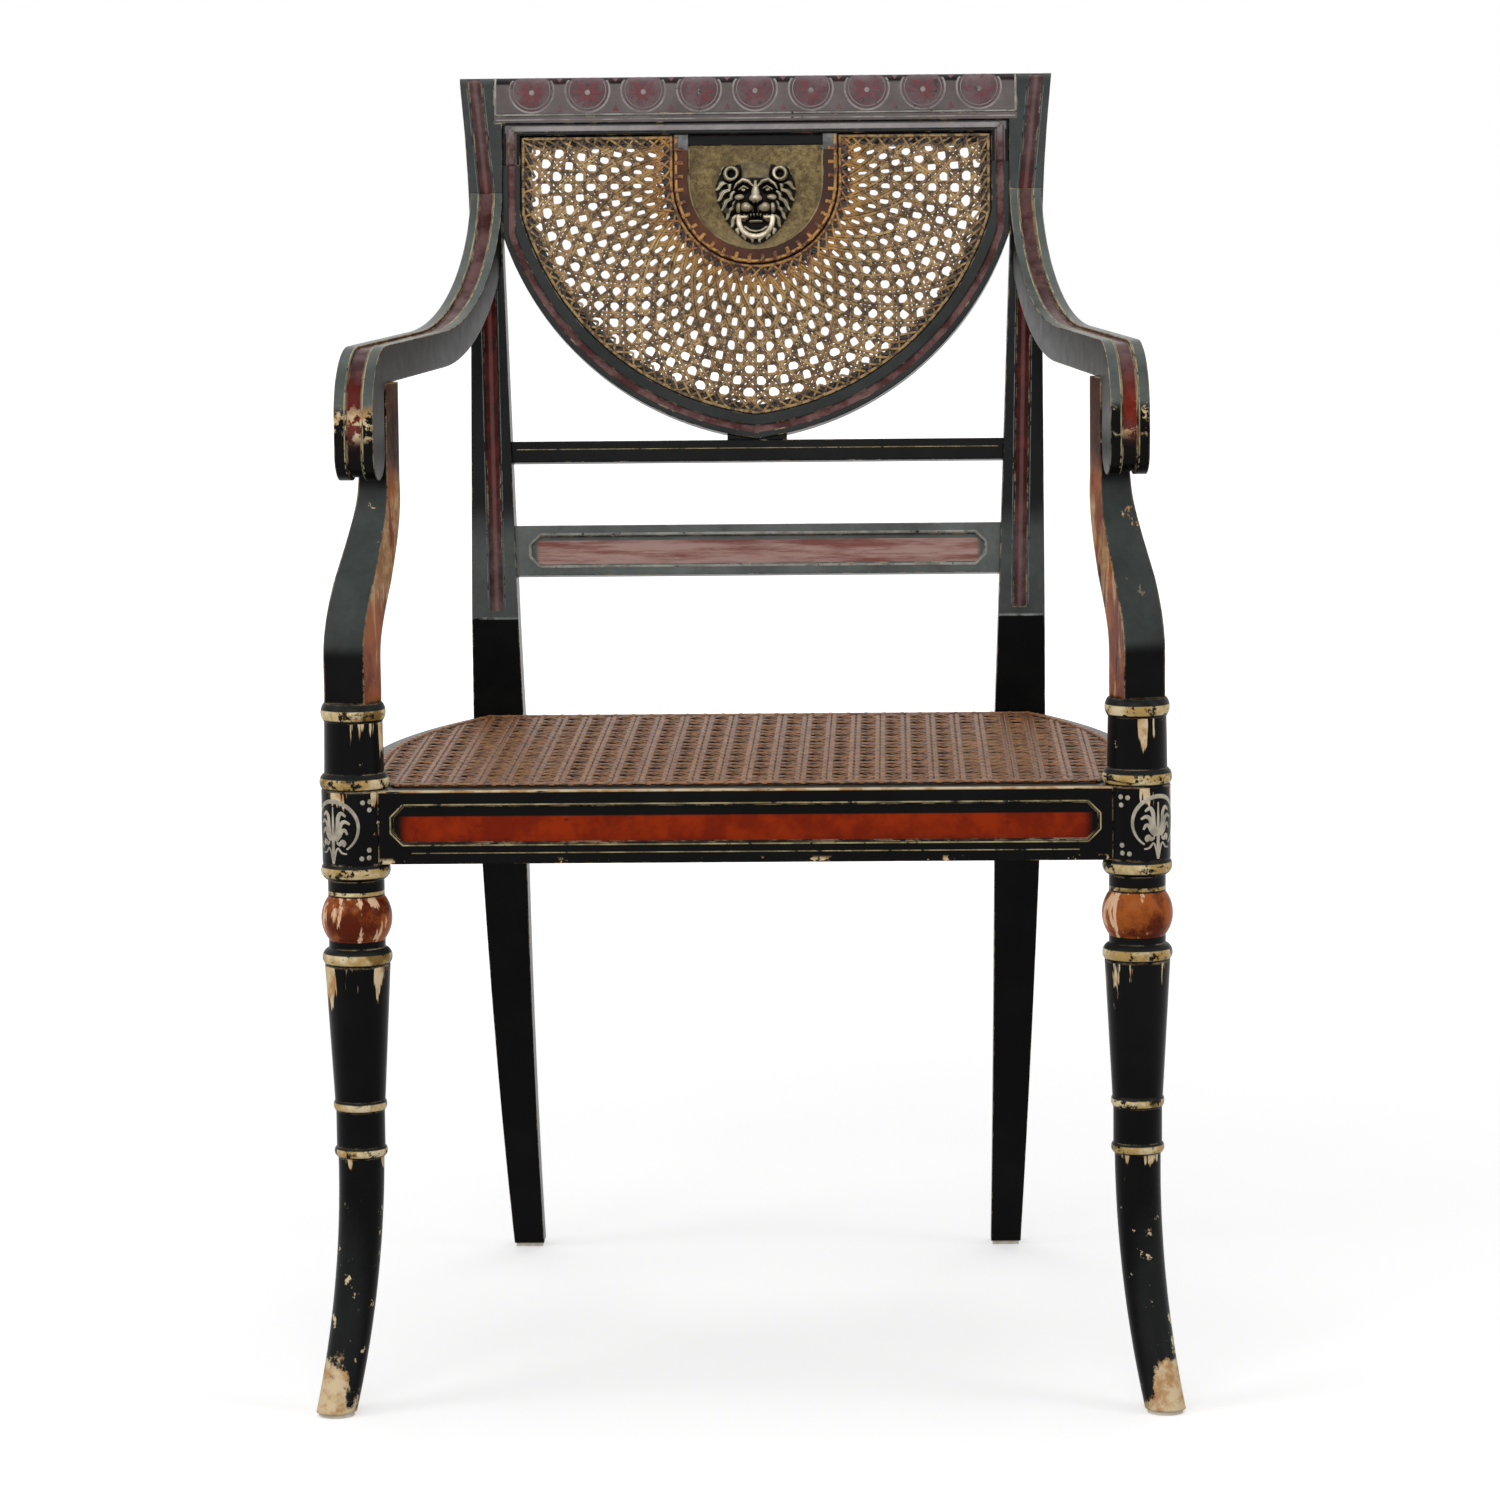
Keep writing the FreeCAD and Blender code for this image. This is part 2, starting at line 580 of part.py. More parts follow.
def side_rail(leg):
    ring = seat_plan(0, RAIL_BOTTOM, SEAT_TOP).cut(seat_plan(SIDE_RAIL_WIDTH, RAIL_BOTTOM, SEAT_TOP))
    body = ring.common(box(0, FAR, LEG_Y, POST_Y, RAIL_BOTTOM, SEAT_TOP)).cut(leg)
    body = whole(body)
    low = RAIL_BOTTOM + TENON_SHOULDER
    high = SEAT_TOP - TENON_SHOULDER
    mid = SIDE_X - SIDE_RAIL_WIDTH / 2
    half = RAIL_TENON / 2
    front = box(mid - half, mid + half, LEG_Y + LEG_TENON_GAP, LEG_Y + DRUM_R + 8, low, high)
    back_mid = (side_inner_x(POST_Y) + POST_OUT) / 2
    back = box(back_mid - half, back_mid + half, POST_Y - 2, POST_Y + POST_TENON, low, high)
    return whole(body.fuse(front).fuse(back))


def front_rail(leg, sides):
    end = LEG_X - LEG_TENON_GAP
    body = box(-end, end, FRONT_RAIL_Y, FRONT_RAIL_BACK, RAIL_BOTTOM, SEAT_TOP)
    body = whole(body.cut(leg).cut(mirrored(leg)).cut(sides))
    tenon_y = LEG_Y - RAIL_TENON
    tenon = box(-end, end, tenon_y, tenon_y + RAIL_TENON, RAIL_BOTTOM + TENON_SHOULDER, SEAT_TOP - TENON_SHOULDER)
    middle = (RAIL_BOTTOM + SEAT_TOP) / 2 + FRONT_PANEL_UP
    recess = canted_panel(FRONT_PANEL_LENGTH, FRONT_PANEL_HEIGHT, FRONT_PANEL_DEPTH, FRONT_RAIL_Y, middle)
    return whole(body.fuse(tenon).cut(recess))


def back_rail(posts, sides):
    body = box(-POST_OUT, POST_OUT, BACK_RAIL_Y, POST_Y + BACK_RAIL_BEHIND, RAIL_BOTTOM, SEAT_TOP)
    body = whole(body.cut(posts).cut(sides))
    end = POST_IN_SEAT + BACK_RAIL_TENON
    back = POST_Y + BACK_RAIL_BEHIND - 2
    tenon = box(-end, end, back - RAIL_TENON + 1, back, RAIL_BOTTOM + TENON_SHOULDER, SEAT_TOP - TENON_SHOULDER)
    return whole(body.fuse(tenon))


def front_block(rails):
    x = SIDE_X - SIDE_RAIL_WIDTH
    y = FRONT_RAIL_BACK
    corner = prism([Vector(x, y, BLOCK_LOW), Vector(x, y + BLOCK, BLOCK_LOW), Vector(x - BLOCK, y, BLOCK_LOW)],
                   Vector(0, 0, BLOCK_TOP - BLOCK_LOW))
    clear = rod(Vector(LEG_X, LEG_Y, BLOCK_LOW - 1), Vector(LEG_X, LEG_Y, BLOCK_TOP + 1), DRUM_R + 0.3)
    return whole(corner.cut(clear).cut(rails))


def rear_block(rails):
    x = side_inner_x(BACK_RAIL_Y - BLOCK)
    y = BACK_RAIL_Y
    corner = prism([Vector(x, y, BLOCK_LOW), Vector(x, y - BLOCK, BLOCK_LOW), Vector(x - BLOCK - 20, y, BLOCK_LOW)],
                   Vector(0, 0, BLOCK_TOP - BLOCK_LOW))
    return whole(corner.cut(rails))


def screw(face, direction, sleeve):
    # Screw through a corner block into a rail, the rail's face at the given point.
    way = Vector(direction)
    head = face - way * sleeve
    shank = rod(head, face + way * SCREW_BITE, SCREW_R)
    return shank.fuse(rod(head - way * SCREW_HEAD, head, SCREW_HEAD_R)).removeSplitter()


def block_screws():
    z = (BLOCK_LOW + BLOCK_TOP) / 2
    x = SIDE_X - SIDE_RAIL_WIDTH
    into_front = screw(Vector(x - BLOCK * 0.62, FRONT_RAIL_BACK, z), Vector(0, -1, 0), BLOCK * 0.3)
    into_side = screw(Vector(x, FRONT_RAIL_BACK + BLOCK * 0.62, z), Vector(1, 0, 0), BLOCK * 0.3)
    rear_x = side_inner_x(BACK_RAIL_Y - BLOCK)
    into_back = screw(Vector(rear_x - BLOCK * 0.75, BACK_RAIL_Y, z), Vector(0, 1, 0), BLOCK * 0.36)
    rear_y = BACK_RAIL_Y - BLOCK * 0.5
    into_rear_side = screw(Vector(side_inner_x(rear_y), rear_y, z), Vector(1, 0, 0), BLOCK * 0.42)
    right = [into_front, into_side, into_back, into_rear_side]
    return right + [mirrored(s) for s in right]


# Back rails

def crest_rail():
    end = POST_IN_TOP + CREST_HOUSING
    round_z = POST_TOP - POST_TOP_THICK / 2
    front = POST_Y
    back = POST_Y + POST_TOP_THICK
    section = Part.Face(Part.Wire([
        line(Vector(-end, front, CREST_Z), Vector(-end, front, round_z)),
        arc(Vector(-end, front, round_z), Vector(-end, (front + back) / 2, POST_TOP), Vector(-end, back, round_z)),
        line(Vector(-end, back, round_z), Vector(-end, back, CREST_Z)),
        line(Vector(-end, back, CREST_Z), Vector(-end, front, CREST_Z))]))
    body = section.extrude(Vector(2 * end, 0, 0))
    quirk = box(-FAR, FAR, front - 1, front + 1.2, CREST_Z + 5.0, CREST_Z + 6.6)
    body = body.cut(quirk)
    mid = (front + back) / 2
    half = CREST_TENON_THICK / 2
    tenon = box(-end - CREST_TENON, end + CREST_TENON, mid - half, mid + half, CREST_Z + 6, round_z - 2)
    return whole(raked(body.fuse(tenon)))


def tenoned_back_rail(y, thick, z, height, posts):
    body = raked(box(-POST_OUT, POST_OUT, y, y + thick, z, z + height))
    body = max(body.cut(posts).Solids, key=lambda s: s.Volume)
    end = body.BoundBox.XMax + BACK_TENON
    mid = y + thick / 2
    half = BACK_TENON_THICK / 2
    tenon = box(-end, end, mid - half, mid + half, z + BACK_TENON_SHOULDER, z + height - BACK_TENON_SHOULDER)
    return body.fuse(raked(tenon))


# Caned panel, drawn upright and then leaned

def pointed(radius, half, top, y0, y1):
    # Space inside both arcs of the bow, narrower than half on each side and below top.
    tall = y1 - y0
    along = Vector(0, 1, 0)
    right = Part.makeCylinder(radius, tall, Vector(-BOW_OFFSET, y0, BOW_CENTRE_Z), along)
    left = Part.makeCylinder(radius, tall, Vector(BOW_OFFSET, y0, BOW_CENTRE_Z), along)
    return right.common(left).common(box(-half, half, y0, y1, BOW_CENTRE_Z - radius - 1, top))


def shield(radius, top, y0, y1):
    # U-shaped space, round below and straight up to top.
    disc = Part.makeCylinder(radius, y1 - y0, Vector(0, y0, SHIELD_CENTRE_Z), Vector(0, 1, 0))
    upper = box(-radius, radius, y0, y1, SHIELD_CENTRE_Z, top)
    lower = disc.common(box(-radius, radius, y0, y1, SHIELD_CENTRE_Z - radius, SHIELD_CENTRE_Z))
    return lower.fuse(upper).removeSplitter()


def panel_frame():
    outer = pointed(BOW_R, PANEL_HALF, CREST_Z, PANEL_Y, PANEL_BACK)
    inner = pointed(OPENING_R - LEDGE, OPENING_HALF - LEDGE, OPENING_TOP - LEDGE, PANEL_Y - 1, PANEL_BACK + 1)
    rebate = pointed(OPENING_R, OPENING_HALF, OPENING_TOP, PANEL_Y - 1, LEDGE_Y)
    return outer.cut(inner).cut(rebate)


def bow_groove():
    low = PANEL_Y - 1
    deep = PANEL_Y + GROOVE_DEPTH
    inset = GROOVE_EDGE + GROOVE
    outer = pointed(BOW_R - GROOVE_EDGE, PANEL_HALF - GROOVE_EDGE, RETURN_Z, low, deep)
    return outer.cut(pointed(BOW_R - inset, PANEL_HALF - inset, RETURN_Z + 1, low - 1, deep + 1))


def shield_frame():
    out = SHIELD_R + SHIELD_WIDTH
    base_top = OPENING_TOP - LEDGE
    raised = shield(out, OPENING_TOP, PANEL_Y + 1, LEDGE_Y)
    base = shield(out + LEDGE, base_top, LEDGE_Y, PANEL_BACK - 4)
    hole = shield(SHIELD_R, OPENING_TOP + 1, PANEL_Y, PANEL_BACK)
    return whole(raised.fuse(base).cut(hole))


def back_cane_area(extra):
    # Cane sheet between the bow and the shield, smaller by extra at its edges.
    front = LEDGE_Y - CANE_THICK
    gap = CANE_GAP + extra
    sheet = pointed(OPENING_R - gap, OPENING_HALF - gap, OPENING_TOP - gap, front, LEDGE_Y)
    return sheet.cut(shield(SHIELD_R + SHIELD_WIDTH + gap, OPENING_TOP + 1, front - 1, LEDGE_Y + 1))


def holed(slab, centres, radius, axis):
    # Sheet with round gaps, each fully inside the slab's outline.
    normal = -axis
    base = [f for f in slab.Faces if f.normalAt(0, 0).dot(normal) > 0.99]
    base = max(base, key=lambda f: f.Area)
    edge = base.OuterWire
    holes = []
    for centre in centres:
        near = Part.Vertex(centre).distToShape(edge)[0]
        if near > radius + 3.0 and base.isInside(centre, 0.01, True):
            holes.append(Part.Wire(Part.Circle(centre, axis, radius).toShape()))
    sheet = Part.Face([edge] + holes)
    thick = min(slab.BoundBox.YLength, slab.BoundBox.ZLength)
    return sheet.extrude(axis * thick)


def back_cane():
    slab = whole(back_cane_area(0))
    y = LEDGE_Y - CANE_THICK
    centres = []
    out = SHIELD_R + SHIELD_WIDTH
    radius = out + BACK_HOLE_PITCH * 0.75
    while radius < BOW_R:
        count = int(math.pi * radius / BACK_HOLE_PITCH)
        for i in range(count):
            a = math.pi * (1 + (i + 0.5) / count)
            centres.append(Vector(radius * math.cos(a), y, SHIELD_CENTRE_Z + radius * math.sin(a)))
        for i in range(4):
            z = SHIELD_CENTRE_Z + BACK_HOLE_PITCH * (i + 0.5)
            centres.append(Vector(radius, y, z))
            centres.append(Vector(-radius, y, z))
        radius += BACK_HOLE_PITCH
    return whole(raked(holed(slab, centres, BACK_HOLE_R, Vector(0, 1, 0))))


def back_binders():
    front = LEDGE_Y - CANE_THICK - BINDER_THICK
    back = LEDGE_Y - CANE_THICK
    gap = CANE_GAP + 0.2
    wide = gap + BINDER_WIDTH
    out = SHIELD_R + SHIELD_WIDTH
    rim = pointed(OPENING_R - gap, OPENING_HALF - gap, OPENING_TOP - gap, front, back)
    rim = rim.cut(pointed(OPENING_R - wide, OPENING_HALF - wide, OPENING_TOP - wide, front - 1, back + 1))
    rim = rim.cut(shield(out + gap, OPENING_TOP + 1, front - 1, back + 1))
    inner = shield(out + wide, OPENING_TOP - wide - 0.2, front, back)
    inner = inner.cut(shield(out + gap, OPENING_TOP + 1, front - 1, back + 1))
    return rim, whole(raked(inner))


def plaque():
    return shield(SHIELD_R - PLAQUE_GAP, OPENING_TOP - LEDGE - PLAQUE_GAP, LEDGE_Y, LEDGE_Y + PLAQUE_THICK)


# Lion mask and ring, drawn upright and then leaned

def ring_axis():
    return LEDGE_Y - PIVOT_OUT, MASK_Z - PIVOT_DROP


def lion_mask():
    back = LEDGE_Y
    lumps = [ellipsoid(Vector(0, back, MASK_Z + 1), HEAD_RX, HEAD_OUT, HEAD_RZ)]
    for i in range(MANE_LOCKS):
        a = 2 * math.pi * (i + 0.5) / MANE_LOCKS
        x = MANE_HALF * math.cos(a) * (1 + MANE_TAPER * math.sin(a))
        lumps.append(Part.makeSphere(LOCK_R, Vector(x, back, MASK_Z + MANE_TALL * math.sin(a))))
    lumps.append(ellipsoid(Vector(0, back - 9.5, MASK_Z - MUZZLE_DROP), MUZZLE_R, 8.5, MUZZLE_R + 0.6))
    lumps.append(ellipsoid(Vector(0, back - 12, MASK_Z + 2), 4.5, 6.5, 9))
    for side in (-1, 1):
        lumps.append(ellipsoid(Vector(side * 9, back - 8.5, MASK_Z + 9), 6, 4.5, 3.5))
        lumps.append(Part.makeSphere(EAR_R, Vector(side * EAR_X, back - 3, MASK_Z + EAR_UP)))
    mask = lumps[0].multiFuse(lumps[1:])
    mask = mask.cut(box(-FAR, FAR, back, FAR, 0, FAR))
    y, z = ring_axis()
    for side in (-1, 1):
        hole = rod(Vector(side * (PIVOT_IN - 0.3), y, z), Vector(side * 20, y, z), PIVOT_R + PIVOT_CLEARANCE)
        mask = mask.cut(hole)
    return mask


def mask_pins():
    pins = []
    for side in (-1, 1):
        x = side * MASK_PIN_X
        tip = Vector(x, LEDGE_Y + PLAQUE_THICK - 1.5, MASK_Z - 4)
        neck = Vector(x, LEDGE_Y - 6.2, MASK_Z - 4)
        head = Vector(x, LEDGE_Y - 7.4, MASK_Z - 4)
        pins.append(rod(tip, neck, MASK_PIN_R).fuse(rod(neck, head, MASK_PIN_HEAD_R)).removeSplitter())
    return pins


def lion_ring():
    y, z = ring_axis()
    low = z - RING_SIDE
    wire = Part.Face(Part.Wire(Part.Circle(Vector(RING_HALF, y, low), Vector(0, 0, 1), RING_WIRE_R).toShape()))
    shape = wire.revolve(Vector(0, y, low), Vector(0, 1, 0), 180)
    for side in (-1, 1):
        corner = Vector(side * RING_HALF, y, z)
        shape = shape.fuse(rod(Vector(side * RING_HALF, y, low), corner, RING_WIRE_R))
        shape = shape.fuse(Part.makeSphere(RING_WIRE_R, corner))
        shape = shape.fuse(rod(corner, Vector(side * PIVOT_IN, y, z), PIVOT_R))
    return whole(raked(shape))


# Seat cane

def seat_cane_slab(extra, z0, z1):
    slab = seat_plan(SEAT_CANE_INSET + extra, z0, z1)
    front = FRONT_RAIL_Y + SEAT_CANE_FRONT + extra
    slab = slab.common(box(-FAR, FAR, front, POST_Y - SEAT_CANE_BACK - extra, z0, z1))
    for side in (-1, 1):
        axis = Vector(side * LEG_X, LEG_Y, z0 - 1)
        slab = slab.cut(rod(axis, Vector(axis.x, axis.y, z1 + 1), COLLAR_R + LEG_CLEAR + extra))
    return whole(slab)


def seat_cane():
    slab = seat_cane_slab(0, SEAT_TOP, SEAT_TOP + CANE_THICK)
    centres = []
    across = int(2 * SIDE_X / SEAT_HOLE_PITCH) + 2
    deep = int(SEAT_DEPTH / SEAT_HOLE_PITCH) + 2
    for i in range(-across, across + 1):
        for j in range(deep):
            y = FRONT_RAIL_Y + SEAT_CANE_FRONT + SEAT_HOLE_PITCH * (j + 0.55)
            centres.append(Vector(i * SEAT_HOLE_PITCH, y, SEAT_TOP))
    return whole(holed(slab, centres, SEAT_HOLE_R, Vector(0, 0, 1)))


def seat_binder():
    low = SEAT_TOP + CANE_THICK
    high = low + BINDER_THICK
    edge = seat_cane_slab(0.3, low, high)
    return whole(edge.cut(seat_cane_slab(0.3 + BINDER_WIDTH, low - 1, high + 1)))


# Build every piece

leg_blank = front_leg()
post_blank = post()
post_blanks = post_blank.fuse(mirrored(post_blank))
arm_blank = arm()
support_blank = arm_support()
side_blank = side_rail(leg_blank)
sides = side_blank.fuse(mirrored(side_blank))
front_blank = front_rail(leg_blank, sides)
back_blank = back_rail(post_blanks, sides)
rails = sides.fuse(front_blank).fuse(back_blank)
block_f = front_block(rails)
block_r = rear_block(rails)
screws = block_screws()
screw_tool = screws[0].multiFuse(screws[1:])

crest = crest_rail()
bar = tenoned_back_rail(POST_Y + BAR_SET, BAR_THICK, BAR_Z, BAR_HEIGHT, post_blanks)
lower = tenoned_back_rail(POST_Y + LOWER_SET, LOWER_THICK, LOWER_Z, LOWER_HEIGHT, post_blanks)
lower_panel = canted_panel(BACK_PANEL_LENGTH, BACK_PANEL_HEIGHT, BACK_PANEL_DEPTH, POST_Y + LOWER_SET,
                           LOWER_Z + LOWER_HEIGHT / 2)
lower = lower.cut(raked(lower_panel))

panel = panel_frame()
panel_mid = (LEDGE_Y + PANEL_BACK) / 2
return_x = PANEL_HALF - (SIDE_WIDTH + LEDGE) / 2
bow_dowels = []
bow_dowel_holes = []
panel_dowels = []
panel_dowel_holes = []
for side in (-1, 1):
    low = Vector(side * return_x, panel_mid, RETURN_Z - BOW_DOWEL / 2)
    high = Vector(side * return_x, panel_mid, RETURN_Z + BOW_DOWEL / 2)
    bow_dowels.append(rod(low, high, BOW_DOWEL_R))
    bow_dowel_holes.append(rod(low, high, BOW_DOWEL_R + JOINT_CLEARANCE))
    for z in (OPENING_TOP, (RETURN_Z + BOW_TOUCH_Z) / 2):
        start = Vector(side * (POST_IN_TOP - PANEL_DOWEL * 0.4), panel_mid + 1.0, z)
        end = Vector(side * (POST_IN_TOP + PANEL_DOWEL * 0.6), panel_mid + 1.0, z)
        panel_dowels.append(rod(start, end, PANEL_DOWEL_R))
        panel_dowel_holes.append(rod(start, end, PANEL_DOWEL_R + JOINT_CLEARANCE))
for hole in bow_dowel_holes + panel_dowel_holes:
    panel = panel.cut(hole)
head = whole(panel.common(box(-FAR, FAR, -FAR, FAR, RETURN_Z, FAR)))
bow = panel.common(box(-FAR, FAR, -FAR, FAR, 0, RETURN_Z))
bow = whole(bow.cut(bow_groove()))
saddle = box(-SADDLE_HALF, SADDLE_HALF, PANEL_Y + 2, PANEL_BACK - 3, BAR_Z + BAR_HEIGHT,
             BAR_Z + BAR_HEIGHT + SADDLE_HALF / 2)
saddle = whole(saddle.cut(bow))
rim, inner_binder = back_binders()

pins = mask_pins()
mask = lion_mask()
board = plaque()
for pin in pins:
    mask = mask.cut(pin)
    board = board.cut(pin)

support_axis = Vector(LEG_X, LEG_Y, SUPPORT_Z)
support_low = support_axis - Vector(0, 0, SUPPORT_DOWEL / 2)
support_high = support_axis + Vector(0, 0, SUPPORT_DOWEL / 2)
support_dowel = rod(support_low, support_high, SUPPORT_DOWEL_R)
support_hole = rod(support_low, support_high, SUPPORT_DOWEL_R + JOINT_CLEARANCE)
turn = math.radians(SUPPORT_TURN)
arm_axis = Vector(LEG_X - SUPPORT_SWEEP * math.sin(turn), LEG_Y + SUPPORT_SWEEP * math.cos(turn), ARM_UNDER)
arm_low = arm_axis - Vector(0, 0, ARM_DOWEL / 2)
arm_high = arm_axis + Vector(0, 0, ARM_DOWEL / 2)
arm_dowel = rod(arm_low, arm_high, ARM_DOWEL_R)
arm_hole = rod(arm_low, arm_high, ARM_DOWEL_R + JOINT_CLEARANCE)
screw_x = (POST_IN_TOP + POST_OUT) / 2
screw_z = ARM_LAP_TOP - ARM_THICK * ARM_SCREW_DROP
tip = Vector(screw_x, POST_Y + 1.0, screw_z)
neck = Vector(screw_x, POST_Y + ARM_SCREW, screw_z)
head_end = Vector(screw_x, POST_Y + ARM_SCREW + SCREW_HEAD, screw_z)
bore_end = Vector(screw_x, POST_Y + POST_THICK + 5, screw_z)
arm_screw = rod(tip, neck, SCREW_R).fuse(rod(neck, head_end, SCREW_HEAD_R)).removeSplitter()
arm_screw = raked(arm_screw)
arm_bore = raked(rod(tip, neck, SCREW_R).fuse(rod(neck, bore_end, SCREW_HEAD_R)))

leg = whole(leg_blank.cut(side_blank).cut(front_blank).cut(support_hole))
support = whole(support_blank.cut(support_hole).cut(arm_hole))
arm_piece = whole(arm_blank.cut(arm_hole).cut(arm_bore))
joined = [arm_blank, side_blank, back_blank, crest, bar, lower, arm_bore]
joined += [raked(hole) for hole in panel_dowel_holes]
post_piece = post_blank.cut(post_flutes())
for piece in joined:
    post_piece = post_piece.cut(piece)
post_piece = whole(post_piece)
side_piece = whole(side_blank.cut(screw_tool))

pieces = {
    "front_leg_left": mirrored(leg),
    "front_leg_right": leg,
    "back_post_left": mirrored(post_piece),
    "back_post_right": post_piece,
    "crest_rail": crest,
    "panel_head": whole(raked(head)),
    "panel_bow": whole(raked(bow)),
    "bow_dowels": Part.makeCompound([raked(d) for d in bow_dowels]),
    "panel_dowels": Part.makeCompound([raked(d) for d in panel_dowels]),
    "shield_frame": whole(raked(shield_frame())),
    "plaque_board": whole(raked(board)),
    "lion_mask": whole(raked(mask)),
    "lion_ring": lion_ring(),
    "mask_pins": Part.makeCompound([raked(p) for p in pins]),
    "back_cane": back_cane(),
    "back_binder": Part.makeCompound([raked(s) for s in rim.Solids]),
    "shield_binder": inner_binder,
    "cross_bar": whole(bar),
    "bow_saddle": whole(raked(saddle)),
    "lower_back_rail": whole(lower),
    "seat_front_rail": whole(front_blank.cut(screw_tool)),
    "seat_back_rail": whole(back_blank.cut(screw_tool)),
    "seat_side_rail_left": mirrored(side_piece),
    "seat_side_rail_right": side_piece,
    "seat_cane": seat_cane(),
    "seat_binder": seat_binder(),
    "block_front_left": mirrored(whole(block_f.cut(screw_tool))),
    "block_front_right": whole(block_f.cut(screw_tool)),
    "block_rear_left": mirrored(whole(block_r.cut(screw_tool))),
    "block_rear_right": whole(block_r.cut(screw_tool)),
    "block_screws": Part.makeCompound(screws),
    "arm_left": mirrored(arm_piece),
    "arm_right": arm_piece,
    "arm_support_left": mirrored(support),
    "arm_support_right": support,
    "support_dowels": Part.makeCompound([support_dowel, mirrored(support_dowel)]),
    "arm_dowels": Part.makeCompound([arm_dowel, mirrored(arm_dowel)]),
    "arm_screws": Part.makeCompound([arm_screw, mirrored(arm_screw)]),
    "foot_pads": Part.makeCompound([front_pad(), mirrored(front_pad()), rear_pad(), mirrored(rear_pad())]),
}

os.makedirs("parts", exist_ok=True)
for name, shape in pieces.items():
    shape.exportStep("parts/" + name + ".step")
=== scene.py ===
import random
from bisect import bisect_left
from itertools import accumulate, groupby
from math import acos, asin, atan2, cos, dist, hypot, pi, radians, sin, sqrt

import bmesh
import bpy
from mathutils import Matrix, Vector


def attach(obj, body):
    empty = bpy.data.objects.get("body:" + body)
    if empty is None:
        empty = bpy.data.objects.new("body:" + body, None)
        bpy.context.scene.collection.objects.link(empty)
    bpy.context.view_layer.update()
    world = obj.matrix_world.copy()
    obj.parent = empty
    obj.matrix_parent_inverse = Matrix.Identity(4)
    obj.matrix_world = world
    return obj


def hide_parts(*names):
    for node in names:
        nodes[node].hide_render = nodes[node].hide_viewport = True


# Painted armchair with a caned seat and back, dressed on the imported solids.

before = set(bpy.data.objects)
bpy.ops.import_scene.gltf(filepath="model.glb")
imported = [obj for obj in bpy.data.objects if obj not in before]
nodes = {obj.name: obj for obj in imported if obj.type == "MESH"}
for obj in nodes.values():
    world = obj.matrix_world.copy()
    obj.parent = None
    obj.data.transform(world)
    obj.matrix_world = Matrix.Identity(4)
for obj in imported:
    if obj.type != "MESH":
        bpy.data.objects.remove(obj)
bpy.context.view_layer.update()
random.seed(11)

MM = 0.001

# Sizes of the solids, in millimetres
LEG_X = 261.5
LEG_Y = -240.18
DRUM_R = 22.3
SEAT_TOP = 421.0
FRONT_RAIL_Y = -255.18
POST_Y = 159.82
POST_MIDDLE = 192.87
POST_SPLAY = 0.02177
FLARE_Z = 811.0
FLARE = 0.081
CREASE_Z = 495.0
SLOPE = radians(9.5)
COS = cos(SLOPE)
SIN = sin(SLOPE)
ROLL_Z = 888.0
ROLL_R = 10.0
PANEL_SET = 1.5
LEDGE_DEPTH = 6.5
OPENING_TOP = 853.8
OPENING_HALF = 174.7
OPENING_R = 207.0
BOW_OFFSET = 25.0
BOW_CENTRE_Z = 850.0
SHIELD_OUT = 60.5
SHIELD_IN = 50.0
SHIELD_Z = 818.0
SHIELD_FACE = 2.5
PLAQUE_TOP = 845.6
MASK_Z = 800.5
BAR_Z = 610.6
BAR_SET = 3.0
LOWER_Z = 526.7
LOWER_HEIGHT = 37.0
LOWER_SET = 2.0
ARM_X = 257.0
ARM_BACK_X = 199.75
ARM_FRONT_Y = -248.18
ARM_BACK_Y = 211.98
ARM_SPLAY = (ARM_BACK_X - ARM_X) / (ARM_BACK_Y - ARM_FRONT_Y)
ARM_FLAT_Y = -10.18
ARM_TOP = 715.0
ARM_HIGH = 814.97
ARM_REACH = 222.93
ARM_RISE = 99.97
SCROLL_R = 45.0
SCROLL_Z = 627.0
CURL_R = 18.0
SIDE_X = 268.0
SIDE_ARC_Y = -90.18
SIDE_ARC_R = 563.4


def place(x, y, z):
    return Vector((x * MM, y * MM, z * MM))


def lean(x, depth, height):
    """A point of the leaning back: depth behind the posts' faces, height along the lean."""
    rise = height - CREASE_Z
    return place(x, POST_Y + depth * COS + rise * SIN, CREASE_Z - depth * SIN + rise * COS)


def add(name, data):
    """A new object in the scene."""
    piece = bpy.data.objects.new(name, data)
    bpy.context.scene.collection.objects.link(piece)
    return piece


# Materials

UP = (0.0, 0.0, 1.0)
AHEAD = (0.0, -1.0, 0.0)
BACK_FRONT = (0.0, -COS, SIN)


def tone(code):
    """Linear colour of a six-digit sRGB code."""
    parts = [int(code[i:i + 2], 16) / 255 for i in (0, 2, 4)]
    return tuple(c / 12.92 if c <= 0.04045 else ((c + 0.055) / 1.055) ** 2.4 for c in parts) + (1.0,)


class Value:
    """What a node puts out. Sums, differences and products of values are values too."""

    def __init__(self, web, socket):
        self.web = web
        self.socket = socket

    def __add__(self, other):
        return self.web.calc("ADD", self, other)

    def __sub__(self, other):
        return self.web.calc("SUBTRACT", self, other)

    def __mul__(self, other):
        return self.web.calc("MULTIPLY", self, other)


